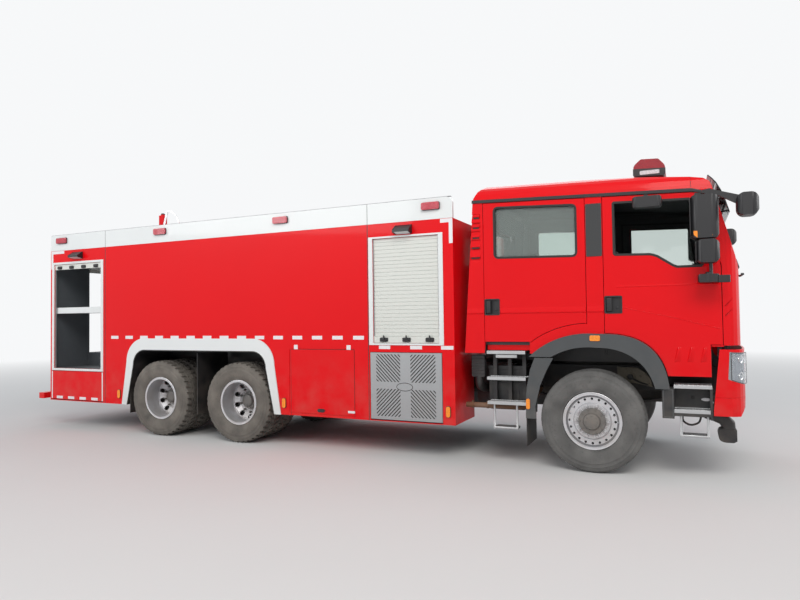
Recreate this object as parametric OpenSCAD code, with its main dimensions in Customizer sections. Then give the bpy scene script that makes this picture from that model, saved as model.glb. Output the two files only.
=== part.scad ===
// Airport fire truck: three-axle chassis, tilting crew cab, water tank body and equipment lockers.
// Millimetres. +X is forward, +Y is left, +Z is up. The ground is z = 0.
// Lengths along X are counted from the front axle, then moved so that the origin is mid-length.

/* [Wheels and axles] */
// Outer diameter of a tyre
tyre_d = 1076; // [1040:1:1080]
// Width of a tyre across its sidewalls
tyre_w = 314; // [300:1:318]
// Diameter of a rim at its flange
rim_d = 596; // [590:1:600]
// Distance between the middle planes of the front wheels
front_track = 2022; // [2000:1:2030]
// Distance between the middle planes of a rear axle's twin wheels
rear_track = 1830; // [1820:1:1838]
// Distance between the two tyres of a twin wheel
twin_pitch = 350; // [340:1:356]
// Front axle to first rear axle
wheelbase = 4575; // [4560:5:4600]
// First rear axle to second rear axle
tandem = 1400; // [1380:5:1410]
// Distance from a steering pin to the middle plane of its wheel
kingpin_inset = 141; // [136:1:151]

/* [Frame] */
// Height of the top of the frame rails
rail_top = 1070; // [1050:5:1080]
// Height of a frame rail
rail_h = 270; // [240:5:300]
// Width across the two rails
rail_span = 780; // [760:5:800]
// Thickness of the rail plate
rail_t = 10; // [8:1:14]

/* [Body] */
// Width of the body
body_w = 2500; // [2480:5:2510]
// Height of the lower edge of the body
body_bottom = 420; // [400:5:440]
// Height of the deck
body_top = 2780; // [2760:5:2800]
// Height of the white side parapets above the deck
parapet_h = 250; // [200:5:300]
// Front axle to the front wall of the body
body_gap = 1470; // [1460:5:1480]
// Length of the front locker
front_locker_l = 1100; // [1080:5:1120]
// Length of the tank section
tank_l = 4490; // [4470:5:4500]
// Length of the rear locker
rear_locker_l = 1230; // [1200:5:1260]
// Wall thickness of the lockers
locker_t = 35; // [25:1:45]
// Height of the locker floors
locker_floor = 1270; // [1260:5:1290]

/* [Cab] */
// Width of the cab
cab_w = 2300; // [2290:2:2310]
// Thickness of the cab walls and doors
cab_t = 60; // [50:2:64]
// Front axle to the rear wall of the cab
cab_rear = 1380; // [1370:2:1384]
// Front axle to the front of the cab, on the centre line
cab_nose = 1430; // [1420:2:1434]
// Gap around a door
door_gap = 6; // [5:0.5:8]
// Height of the cab tilt pin
tilt_z = 1020; // [1015:1:1025]
// Radius of the cab tilt pin
tilt_pin_r = 19.4; // [16:0.2:22]

/* [Hidden] */
$fn = 48;

red = [0.75, 0.02, 0.03];
white = [0.92, 0.92, 0.92];
black = [0.06, 0.06, 0.06];
grey = [0.3, 0.31, 0.32];
silver = [0.72, 0.73, 0.75];
amber = [0.9, 0.35, 0.03];
glass = [0.35, 0.45, 0.42, 0.4];

seat_gap = 0.3;
wheel_r = tyre_d / 2;
front_len = 1560;
rear_len = 8600;
mid_shift = (rear_len - front_len) / 2;
middle_x = -wheelbase;
rear_x = -wheelbase - tandem;
body_front_x = -body_gap;
front_joint_x = body_front_x - front_locker_l;
rear_joint_x = front_joint_x - tank_l;
body_rear_x = rear_joint_x - rear_locker_l;
half_body = body_w / 2;
half_cab = cab_w / 2;
half_rail = rail_span / 2;
rail_bottom = rail_top - rail_h;
rail_flange = 78;
tilt_x = cab_nose - 90;
rail_nose_x = cab_nose - 260;
gearbox_rear = -1150;
tunnel_w = 1120;
tunnel_top = rail_top + 30;
arch_fn = 240;

// Box from three ranges
module block(x, y, z) {
    translate([x[0], y[0], z[0]]) cube([x[1] - x[0], y[1] - y[0], z[1] - z[0]]);
}
// Outline drawn in X and Z, made a plate on the right side between two distances from the middle
module right_plate(y_in, y_out) {
    translate([0, -y_in, 0]) rotate([90, 0, 0]) linear_extrude(y_out - y_in) children();
}
// Outline drawn in X and Z, carried across the middle plane
module across(half_w) {
    translate([0, half_w, 0]) rotate([90, 0, 0]) linear_extrude(2 * half_w) children();
}
module both_sides() {
    children();
    mirror([0, 1, 0]) children();
}
module on_side(side) {
    if (side == "right") children();
    else mirror([0, 1, 0]) children();
}
module from_axle() {
    translate([mid_shift, 0, 0]) children();
}
module rod_y(x, y, z, r) {
    translate([x, y[0], z]) rotate([-90, 0, 0]) cylinder(r = r, h = y[1] - y[0]);
}
module rod_x(x, y, z, r) {
    translate([x[0], y, z]) rotate([0, 90, 0]) cylinder(r = r, h = x[1] - x[0]);
}
module round_rect(x, z, r) {
    translate([x[0] + r, z[0]]) square([x[1] - x[0] - 2 * r, z[1] - z[0]]);
    translate([x[0], z[0] + r]) square([x[1] - x[0], z[1] - z[0] - 2 * r]);
    for (cx = [x[0] + r, x[1] - r], cz = [z[0] + r, z[1] - r]) translate([cx, cz]) circle(r);
}

// Wheels. A wheel is drawn with its axle along local Z, the outer side up.
bead_r = 286;
flange_r = rim_d / 2;
rim_half_w = 127;
rim_lip = 13;
drum_r = 205;
hub_bore_r = 40;
shaft_bore_r = 60;
hub_r = 108;
front_disc_z = 96;
hub_gap = 0.7;
module tyre_ring() {
    bead_w = rim_half_w - rim_lip - seat_gap;
    half = [[bead_r, bead_w], [flange_r + 3, bead_w], [flange_r + 6, rim_half_w + 4],
        [(flange_r + wheel_r) / 2 - 20, tyre_w / 2], [wheel_r - 34, tyre_w / 2 - 13],
            [wheel_r, tyre_w / 2 - 44]];
    count = len(half);
    rotate_extrude($fn = 24) polygon(concat(half,
        [for (i = [count - 1:-1:0]) [half[i][0], -half[i][1]]]));
}
module rim_barrel() {
    rotate_extrude() polygon([[270, -rim_half_w], [flange_r, -rim_half_w],
        [flange_r, -rim_half_w + rim_lip],
        [bead_r - seat_gap, -rim_half_w + rim_lip], [bead_r - seat_gap, rim_half_w - rim_lip],
        [flange_r, rim_half_w - rim_lip], [flange_r, rim_half_w], [270, rim_half_w]]);
}
module front_rim() {
    difference() {
        union() {
            rim_barrel();
            translate([0, 0, front_disc_z]) cylinder(r = 272, h = 14);
            translate([0, 0, front_disc_z + 13]) cylinder(r1 = 196, r2 = 182, h = 16);
            translate([0, 0, front_disc_z + 28]) cylinder(r = 112, h = 22);
            translate([0, 0, front_disc_z + 49]) cylinder(r1 = 92, r2 = 80, h = 26);
            cylinder(r = 95, h = front_disc_z + 2);
        }
        translate([0, 0, -11]) cylinder(r = hub_bore_r, h = 120);
        for (a = [0:18:342]) rotate(a) translate([232, 0, front_disc_z - 1]) cylinder(r = 13, h = 40);
    }
}
module twin_rims() {
    difference() {
        union() {
            for (z = [-twin_pitch / 2, twin_pitch / 2]) translate([0, 0, z]) rim_barrel();
            translate([0, 0, -14]) cylinder(r = 190, h = 28);
            for (s = [0, 1]) mirror([0, 0, s]) {
                translate([0, 0, 13]) cylinder(r1 = 190, r2 = 272, h = 56);
            }
            translate([0, 0, 13]) cylinder(r = hub_r, h = 66);
            translate([0, 0, 78]) cylinder(r1 = 88, r2 = 74, h = 24);
        }
        for (s = [0, 1]) mirror([0, 0, s]) {
            translate([0, 0, 27]) difference() {
                cylinder(r1 = 190, r2 = 252, h = 43);
                if (s == 0) translate([0, 0, -1]) cylinder(r = hub_r, h = 50);
            }
        }
        translate([0, 0, -80]) cylinder(r = shaft_bore_r, h = 125);
        for (a = [18:36:342]) rotate(a) translate([226, 0, -80]) cylinder(r = 32, h = 160);
    }
}
module wheel_place(x, y, side) {
    from_axle() on_side(side) translate([x, -y, wheel_r]) rotate([90, 0, 0]) children();
}
module rim_front(side) {
    color(silver) wheel_place(0, front_track / 2, side) front_rim();
}
module tyre_front(side) {
    color(black) wheel_place(0, front_track / 2, side) tyre_ring();
}
module rims_twin(x, side) {
    color(silver) wheel_place(x, rear_track / 2, side) twin_rims();
}
module tyres_twin(x, side) {
    color(black) wheel_place(x, rear_track / 2, side)
        for (z = [-twin_pitch / 2, twin_pitch / 2]) translate([0, 0, z]) tyre_ring();
}

// Steering. The pin of each knuckle turns in the eye at the end of the front beam.
pin_y = front_track / 2 - kingpin_inset;
pin_r = 25;
eye_r = 46;
beam_z = [478, 598];
ear_t = 34;
module knuckle(side) {
    web_y = pin_y + eye_r + 10;
    color(grey) from_axle() on_side(side) {
        translate([0, -pin_y, beam_z[0] - ear_t - 4]) cylinder(r = pin_r,
            h = beam_z[1] - beam_z[0] + 2 * ear_t + 8);
        for (z = [beam_z[0] - ear_t - 4, beam_z[1] + 4]) {
            translate([0, -pin_y, z]) cylinder(r = 52, h = ear_t);
            block([-52, 52], [-web_y - 20, -pin_y], [z, z + ear_t]);
        }
        block([-52, 52], [-web_y - 20, -web_y], [beam_z[0] - ear_t - 4, beam_z[1] + ear_t + 4]);
        rod_y(0, [-front_track / 2 + hub_gap, -web_y - 19], wheel_r, drum_r);
        rod_y(0, [-front_track / 2 - front_disc_z, -web_y - 19], wheel_r, hub_bore_r - seat_gap);
    }
}

// Leaf spring bowed down in the middle, its ends at the height of its eyes
module leaf_pack(half_l, rise, thick, w) {
    steps = 8;
    top = [for (i = [-steps:steps]) [half_l * i / steps, rise * pow(i / steps, 2)]];
    low = [for (i = [steps:-1:-steps]) [half_l * i / steps, rise * pow(i / steps,
        2) - thick * (1 - 0.7 * abs(i / steps))]];
    translate([0, w / 2, 0]) rotate([90, 0, 0]) linear_extrude(w) polygon(concat(top, low));
}
spring_y = half_rail - 40;
module front_axle() {
    eye_z = rail_bottom - 55;
    spring_half = 780;
    color(grey) from_axle() {
        difference() {
            union() {
                block([-22, 22], [-pin_y, pin_y], [beam_z[0] + 10, beam_z[1] - 10]);
                for (z = [beam_z[0], beam_z[1] - 22]) block([-48, 48], [-pin_y + 40, pin_y - 40],
                    [z, z + 22]);
                for (s = [-1, 1]) translate([0, s * pin_y, beam_z[0]])
                    cylinder(r = eye_r, h = beam_z[1] - beam_z[0]);
            }
            for (s = [-1, 1]) translate([0, s * pin_y, beam_z[0] - 1])
                cylinder(r = pin_r + seat_gap, h = 200);
        }
        both_sides() translate([0, -spring_y, 0]) {
            translate([0, 0, beam_z[1] + 46]) leaf_pack(spring_half, eye_z - beam_z[1] - 46, 46, 76);
            block([-70, 70], [-44, 44], [beam_z[1] - 1, beam_z[1] + 1]);
            for (x = [-spring_half, spring_half]) {
                rod_y(x, [-42, 42], eye_z, 30);
                block([x - 24, x + 24], [-36, 36], [eye_z, rail_bottom - seat_gap]);
            }
        }
    }
}
module rear_axles() {
    trunnion_x = (middle_x + rear_x) / 2;
    bogie_rise = 120;
    drum_y = [rear_track / 2 - 150, rear_track / 2 - 40];
    color(grey) from_axle() {
        for (x = [middle_x, rear_x]) {
            rod_y(x, [-drum_y[1], drum_y[1]], wheel_r, 72);
            translate([x, 0, wheel_r]) sphere(r = 205);
            both_sides() rod_y(x, [-drum_y[1], -drum_y[0]], wheel_r, drum_r);
            rod_y(x, [-rear_track / 2 - 40, rear_track / 2 + 40], wheel_r, shaft_bore_r - seat_gap);
            both_sides() block([x - 60, x + 60], [-spring_y - 46, -spring_y + 46], [wheel_r, wheel_r + 92]);
        }
        both_sides() translate([trunnion_x, -spring_y, 0]) {
            translate([0, 0, wheel_r + 92 + bogie_rise]) mirror([0, 0, 1])
                leaf_pack(tandem / 2, bogie_rise, 46, 84);
            block([-90, 90], [-44, 44], [wheel_r + 20, wheel_r + 92 + bogie_rise + 1]);
        }
        rod_x([rear_x + 180, middle_x - 180], 0, wheel_r + 40, 45);
        rod_x([middle_x + 190, gearbox_rear - seat_gap], 0, wheel_r + 170, 55);
        block([trunnion_x - 60, trunnion_x + 60], [-spring_y + 41, spring_y - 41],
            [wheel_r + 110, wheel_r + 190]);
        both_sides() block([trunnion_x - 60, trunnion_x + 60],
            [-half_rail + rail_flange + seat_gap, -spring_y + 71],
            [wheel_r + 110, rail_bottom + 200]);
    }
}
// Frame rail with the bearer under the body
module rail_half() {
    x = [body_rear_x + 60, rail_nose_x];
    block(x, [-half_rail, -half_rail + rail_t], [rail_bottom, rail_top]);
    block([x[0], body_front_x], [-half_rail, -half_rail + rail_flange],
        [rail_top - 1, tunnel_top - seat_gap]);
    for (z = [rail_bottom, rail_top - rail_t]) block(x, [-half_rail, -half_rail + rail_flange],
        [z, z + rail_t]);
}
// Jaw in the nose beam for a towing pin
tow_pin_r = 25;
tow_x = cab_nose - 40;
nose_beam_x = cab_nose - 168;
module tow_jaw() {
    z = rail_bottom - 20;
    difference() {
        for (dz = [0, 82]) block([nose_beam_x + seat_gap, tow_x + 38], [-60, 60], [z + dz, z + dz + 28]);
        translate([tow_x, 0, z - 1]) cylinder(r = tow_pin_r, h = 112);
    }
}
module chassis_rails() {
    cross_x = [body_rear_x + 140, rear_joint_x + 360, front_joint_x - 1030, front_joint_x + 470,
        gearbox_rear - 100];
    color(grey) from_axle() {
        both_sides() rail_half();
        for (x = cross_x) block([x, x + 60], [-half_rail + 1, half_rail - 1],
            [rail_bottom + 30, rail_top - 30]);
        both_sides() difference() {
            block([rail_nose_x - 30, tilt_x + 38], [-half_rail, -half_rail + 24],
                [rail_bottom, tilt_z + 42]);
            rod_y(tilt_x, [-half_rail - 1, -half_rail + 25], tilt_z, tilt_pin_r + 0.6);
        }
        block([nose_beam_x - 60, nose_beam_x], [-half_rail + 1, half_rail - 1],
            [rail_bottom - 40, rail_bottom + 100]);
        tow_jaw();
    }
}
module engine_block() {
    color(grey) from_axle() {
        block([-420, 820], [-300, 300], [660, 1290]);
        block([gearbox_rear, -419], [-190, 190], [700, 1010]);
        both_sides() block([480, 600], [-half_rail + rail_flange + seat_gap, -299],
            [rail_bottom - 20, rail_bottom + 40]);
    }
}

// Bumpers. The front bumper is a wrapped shell; its inner face clears the cab as it tilts.
bumper_z = [660, 1300];
bumper_t = 16;
bumper_rear_x = cab_nose - 290;
bumper_nose_x = cab_nose + 20;
bumper_half = half_cab + 38;
function bumper_plan(t) = [[bumper_rear_x, bumper_half - t], [bumper_nose_x - 150, bumper_half - 4 - t],
    [bumper_nose_x - 112 - t / 2, bumper_half - 18 - t / 2], [bumper_nose_x - 78 - t / 2,
        bumper_half - 44 - t / 2],
    [bumper_nose_x - 52 - t, bumper_half - 90], [bumper_nose_x - 34 - t, bumper_half - 150],
    [bumper_nose_x - 10 - t, bumper_half - 400], [bumper_nose_x - t, bumper_half - 700],
        [bumper_nose_x - t, 0]];
function both_y(points) = concat(points, [for (i = [len(points) - 1:-1:0]) [points[i][0], -points[i][1]]]);
module bumper_shell() {
    difference() {
        translate([0, 0, bumper_z[0]]) linear_extrude(bumper_z[1] - bumper_z[0])
            polygon(both_y(bumper_plan(0)));
        translate([0, 0, bumper_z[0] - 1]) linear_extrude(bumper_z[1] - bumper_z[0] + 2)
            polygon(both_y(concat([[bumper_rear_x - 1, bumper_half - bumper_t]], bumper_plan(bumper_t))));
        both_sides() headlamp_room(0);
        block([bumper_nose_x - 150, bumper_nose_x + 1], [-430, 430], [bumper_z[0] + 40, bumper_z[0] + 190]);
        across(half_body) {
            polygon([[bumper_rear_x - 1, bumper_z[0] + 40], [bumper_rear_x - 1, bumper_z[1] + 1],
                [bumper_rear_x + 62, bumper_z[1] + 1]]);
            polygon([[bumper_nose_x + 1, bumper_z[0] + 140], [bumper_nose_x + 1, bumper_z[0] - 1],
                [bumper_nose_x - 78, bumper_z[0] - 1]]);
        }
        both_sides() bumper_groove();
    }
}
// Groove around the bumper below the headlamps
module bumper_groove() {
    z = bumper_z[0] + 172;
    translate([0, 0, z]) linear_extrude(8) difference() {
        translate([bumper_rear_x, 0]) square([400, half_body]);
        polygon(concat([[bumper_rear_x - 1, 0], [bumper_rear_x - 1, bumper_half - 5]], bumper_plan(5)));
    }
}
module headlamp_room(gap) {
    right_plate(bumper_half - 310 + gap, half_body + 10)
        polygon([[bumper_nose_x - 180 + gap, 1014 + gap], [bumper_nose_x + 50, 930 + gap],
            [bumper_nose_x + 50, 1262 - gap], [bumper_nose_x - 164 + gap, 1276 - gap]]);
}
module bumpers() {
    color(red) from_axle() {
        bumper_shell();
        both_sides() block([nose_beam_x + seat_gap, bumper_nose_x - 14], [-300, -240],
            [rail_bottom - 30, rail_bottom + 60]);
        block([body_rear_x - 300, body_rear_x - 180], [-half_body + 20, half_body - 20], [430, 520]);
        both_sides() block([body_rear_x - 181, body_rear_x + 59], [-half_rail, -half_rail + 60],
            [rail_bottom - 281, rail_bottom - 100]);
        both_sides() block([body_rear_x + 1, body_rear_x + 60 - seat_gap], [-half_rail, -half_rail + 60],
            [rail_bottom - 281, rail_bottom + 100]);
    }
}
module headlamp() {
    intersection() {
        difference() {
            translate([0, 0, 900]) linear_extrude(400) polygon(both_y(bumper_plan(0)));
            translate([0, 0, 899]) linear_extrude(402) polygon(both_y(bumper_plan(46)));
            block([bumper_rear_x - 50, bumper_nose_x - 104], [-bumper_half + 30, bumper_half - 30],
                [899, 1301]);
        }
        headlamp_room(seat_gap);
    }
}

// Lamp units along the body
strobe_x = [body_front_x - 265, front_joint_x - 1267, rear_joint_x + 1125, body_rear_x + 270];
work_lamp_x = [front_joint_x + 485, rear_joint_x - 600];
marker_x = [body_front_x - 84, middle_x + 775, rear_x - 785];
module lamps() {
    out = half_body + seat_gap;
    color(amber) from_axle() {
        both_sides() headlamp();
        both_sides() for (x = strobe_x)
            right_plate(out, out + 34) round_rect([x - 110, x + 110], [body_top + 112, body_top + 198], 20);
        both_sides() for (x = work_lamp_x) translate([x - 105, -out, body_top - 90]) rotate([90, 0, 90])
            linear_extrude(210) polygon([[0, -52], [0, 52], [-95, -12], [-95, -34]]);
        both_sides() for (x = marker_x) right_plate(out, out + 18)
            round_rect([x - 25, x + 25], [body_bottom + 90, body_bottom + 212], 24);
        both_sides() for (y = [780, 880, 980])
            block([body_rear_x - 20, body_rear_x - seat_gap], [-y - 45, -y + 45], [600, 690]);
    }
}

// Steps under the doors, on the frame
module tread(x, y, z) {
    difference() {
        block(x, y, [z - 30, z]);
        for (i = [1:7], j = [1:2]) {
            cx = x[0] + (x[1] - x[0]) * i / 8;
            cy = y[0] + (y[1] - y[0]) * j / 3;
            translate([cx, cy, z - 31]) cylinder(r = 13, h = 32);
        }
    }
}
module stirrup(x, z, y) {
    r = 12;
    for (side = x) translate([side, y, z[0]]) cylinder(r = r, h = z[1] - z[0]);
    rod_x([x[0] - r, x[1] + r], y, z[0] + r, r);
    block([x[0], x[1]], [y, y + 130], [z[0], z[0] + 24]);
}
step_out = half_cab;
module front_step() {
    x = [790, 1132];
    block([680, 1134], [-step_out, -step_out + 30], [640, 668]);
    block([680, 1134], [-step_out + 180, -step_out + 210], [610, 905]);
    block([680, 790], [-step_out, -step_out + 210], [610, 905]);
    block([1112, 1134], [-step_out, -step_out + 210], [610, 905]);
    tread(x, [-step_out + 4, -step_out + 200], 940);
    for (bx = x) block([bx - 8, bx + 8], [-step_out + 30, -step_out + 210], [880, 912]);
    tread(x, [-step_out + 4, -step_out + 181], 698);
    stirrup([850, 1090], [430, 669], -step_out + 30);
    block([700, 1100], [-step_out + 209, -half_rail - seat_gap], [rail_bottom + 10, rail_bottom + 70]);
}
crew_x = [-1125, -690];
crew_steps = [697, 968, 1258];
module crew_step() {
    for (z = crew_steps) tread(crew_x, [-step_out + 4, -step_out + 160], z);
    for (x = [crew_x[0] + 30, -925, crew_x[1] - 70])
        block([x, x + 40], [-step_out + 159, -step_out + 199], [640, 1240]);
    block([crew_x[0], crew_x[1]], [-step_out + 198, -half_rail - seat_gap],
        [rail_bottom + 10, rail_bottom + 90]);
    stirrup([-1055, -800], [395, 668], -step_out + 40);
}
// Ladder up the left of the rear wall
ladder_y = [700, 1090];
ladder_z = [640, 2960];
rung_pitch = 300;
module rear_ladder() {
    x = body_rear_x - 110;
    r = 17;
    for (y = ladder_y) {
        translate([x, y, ladder_z[0]]) cylinder(r = r, h = ladder_z[1] - ladder_z[0]);
        for (z = [ladder_z[0] + 60, ladder_z[0] + 1120, ladder_z[1] - 240])
            rod_x([x, body_rear_x - seat_gap], y, z, 12);
        rod_x([x - r, body_rear_x + 120], y, ladder_z[1], r);
    }
    for (z = [ladder_z[0] + 40:rung_pitch:ladder_z[1] - 100]) rod_y(x, ladder_y, z, 13);
}
module side_steps() {
    color(silver) from_axle() {
        both_sides() {
            front_step();
            crew_step();
        }
        rear_ladder();
    }
}

// Arch of the front wheel: an arc behind its peak, a squarer curve in front of it
arch_x = -20;
arch_z = 555;
arch_peak = [60, 700];
arch_foot_z = [1202, 900];
arch_inner = [755, 580, 2.3];
arch_outer = [900, 700, 2.8];
guard_seam_z = 1192;
// Points from the rear foot over the peak to the front foot, for a form of rear radius, front reach and
// squareness, grown by a gap
function arch_line(form, g) =
    let (r = form[0] + g, n = form[2],
        top = arch_z + sqrt(pow(r, 2) - pow(arch_peak[0] - arch_x, 2)) - arch_peak[1],
        a0 = 180 - asin((arch_foot_z[0] - arch_z) / r), a1 = acos((arch_peak[0] - arch_x) / r),
        t1 = asin(pow((arch_foot_z[1] - arch_peak[1]) / top, n / 2)))
    concat([for (i = [0:32]) let (a = a0 + (a1 - a0) * i / 32) [arch_x + r * cos(a), arch_z + r * sin(a)]],
        [for (i = [1:32]) let (t = 90 + (t1 - 90) * i / 32)
            [arch_peak[0] + (form[1] + g) * pow(cos(t), 2 / n), arch_peak[1] + top * pow(sin(t), 2 / n)]]);
function turned(points) = [for (i = [len(points) - 1:-1:0]) points[i]];
module arch_band(inner, outer) {
    polygon(concat(outer, turned(inner)));
}
// Everything under the arch's outer line grown by a gap
module arch_room(g) {
    line = arch_line(arch_outer, g);
    polygon(concat([[line[0][0], 700]], line, [[line[64][0], 700]]));
}
module cab_fenders() {
    inner = arch_line(arch_inner, 0);
    color(grey) from_axle() both_sides() {
        right_plate(half_cab + seat_gap, half_cab + 26) arch_band(inner, arch_line(arch_outer, 0));
        right_plate(600, half_cab + 1) arch_band(inner, arch_line(arch_inner, 14));
        right_plate(half_cab + 25, half_cab + 36) round_rect([-2, 102], [arch_z + 822, arch_z + 880], 14);
    }
}
guard_out = half_cab + 20;
arch_reach = 725;
module front_guard() {
    right_plate(guard_out - 20, guard_out)
        polygon([[-690, 535], [-579, 535], [-584, 674], [-528, 898], [-458, 1060], [-385, guard_seam_z],
            [-585, guard_seam_z], [-636, 1060], [-682, 800]]);
    right_plate(guard_out - 1, guard_out + 12) round_rect([-682, -642], [636, 748], 18);
    right_plate(640, guard_out - 19) polygon([[-690, 535], [-678, 535], [-668, 870], [-620, 1070],
        [-540, guard_seam_z], [-555, guard_seam_z], [-634, 1076], [-681, 870]]);
    block([-686, -678], [-guard_out + 10, -700], [233, 536]);
    block([-680, -664], [-641, -half_rail - seat_gap], [rail_bottom + 20, rail_bottom + 70]);
}
module body_flap(x) {
    block([x - 5, x + 5], [-half_body + 20, -600], [340, 1190]);
    block([x - 15, x + 15], [-601, -half_rail - seat_gap], [rail_bottom + 60, rail_bottom + 110]);
}
module rear_flap() {
    z = [300, 480, 600];
    hang = rear_x - arch_reach + 100 + seat_gap;
    lean = 130 / (1230 - 220 - body_bottom + 1);
    face = hang + (z[2] - body_bottom + 1) * lean;
    right_plate(600, half_body - 12) polygon([[hang + (z[1] - body_bottom + 1) * lean, z[1]], [face, z[2]],
        [face + 12, z[2]], [face + 12, z[0]], [face + 4, z[0]], [face + 4, z[1]]]);
}
module mudguards() {
    color(black) from_axle() both_sides() {
        front_guard();
        body_flap((middle_x + rear_x) / 2);
        rear_flap();
    }
}

// Outline of the rear wheel arch: tangent arcs and sloping legs about both rear axles
module rear_arch(top, r, reach, slope) {
    z0 = body_bottom - 1;
    cz = top - r;
    x0 = rear_x - reach;
    x1 = middle_x + reach;
    xr = x0 + slope + r;
    xf = x1 - slope - r;
    translate([xr, z0]) square([xf - xr, top - z0]);
    translate([xr, cz]) circle(r);
    translate([xf, cz]) circle(r);
    polygon([[x0, z0], [xr - r, cz], [xr, cz], [xr, z0]]);
    polygon([[x1, z0], [xf + r, cz], [xf, cz], [xf, z0]]);
}
module inner_arch() { rear_arch(1230, 220, arch_reach - 100, 130); }
module outer_arch() { rear_arch(1395, 340, arch_reach, 100); }

// Body sections
module tunnel() {
    block([body_rear_x - 1, body_front_x + 1], [-tunnel_w / 2, tunnel_w / 2],
        [body_bottom - 1, tunnel_top]);
}
module tank_body() {
    door_x = [front_joint_x - 1150, front_joint_x - 190];
    color(red) from_axle() difference() {
        block([rear_joint_x + 1, front_joint_x - 1], [-half_body, half_body], [body_bottom, body_top]);
        tunnel();
        both_sides() right_plate(tunnel_w / 2 - 1, half_body + 1) inner_arch();
        both_sides() right_plate(half_body - 8, half_body + 1) difference() {
            round_rect([door_x[0], door_x[1]], [body_bottom + 30, 1270], 12);
            round_rect([door_x[0] + 8, door_x[1] - 8], [body_bottom + 38, 1262], 8);
        }
    }
}
flap_pin_y = half_body - 14;
flap_pin_z = body_bottom + 36;
flap_pin_r = 7;
front_opening_z = [1345, 2600];
front_flap_z = [body_bottom + 8, 1240];
rear_opening_z = [925, 2560];
rear_flap_z = [body_bottom + 8, 888];
front_open_x = [front_joint_x + 70, body_front_x - 180];
front_flap_x = [front_joint_x + 20, body_front_x - 150];
rear_open_x = [body_rear_x + 90, rear_joint_x - 90];
rear_flap_x = [body_rear_x + 30, rear_joint_x - 40];
rear_door_y = 580;
rear_floor = 925;
// Side openings of a locker: the shutter's and the step panel's, with the holes of the panel's hinge pin
module side_openings(open_x, open_z, flap_x, flap_z) {
    wall = [-half_body - 1, -half_body + locker_t + 1];
    both_sides() {
        block(open_x, wall, open_z);
        block(flap_x, wall, flap_z);
        rod_x([flap_x[0] - 14, flap_x[1] + 14], -flap_pin_y, flap_pin_z, flap_pin_r + seat_gap);
    }
}
module locker_walls(x, floor_z, low_top) {
    difference() {
        block(x, [-half_body, half_body], [body_bottom, body_top]);
        tunnel();
        block([x[0] + locker_t, x[1] - locker_t], [-half_body + locker_t, half_body - locker_t],
            [floor_z, body_top - locker_t]);
        both_sides() block([x[0] + locker_t, x[1] - locker_t],
            [-half_body + locker_t, -tunnel_w / 2 - locker_t],
            [body_bottom + locker_t, low_top]);
    }
}
module front_locker() {
    color(red) from_axle() difference() {
        locker_walls([front_joint_x + 1, body_front_x], locker_floor, locker_floor - 25);
        side_openings(front_open_x, front_opening_z, front_flap_x, front_flap_z);
    }
}
module rear_locker() {
    x = [body_rear_x, rear_joint_x - 1];
    color(red) from_axle() difference() {
        locker_walls(x, tunnel_top + 35, rear_floor - 30);
        both_sides() block([x[0] + locker_t, x[1] - locker_t],
            [-half_body + locker_t, -tunnel_w / 2 - locker_t],
            [rear_floor, tunnel_top + 36]);
        side_openings(rear_open_x, rear_opening_z, rear_flap_x, rear_flap_z);
        block([x[0] - 1, x[0] + locker_t + 1], [-rear_door_y, rear_door_y],
            [tunnel_top + 35, rear_opening_z[1]]);
    }
}

// White side parapets with a rounded front top corner
module parapets() {
    r = 80;
    z = [body_top + seat_gap, body_top + parapet_h];
    x = [body_rear_x, body_front_x];
    color(white) from_axle() both_sides() right_plate(half_body - 40, half_body) {
        translate([x[0], z[0]]) square([x[1] - x[0] - r, z[1] - z[0]]);
        translate([x[1] - r - 1, z[0]]) square([r + 1, z[1] - z[0] - r]);
        translate([x[1] - r, z[1] - r]) circle(r);
    }
}

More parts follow.
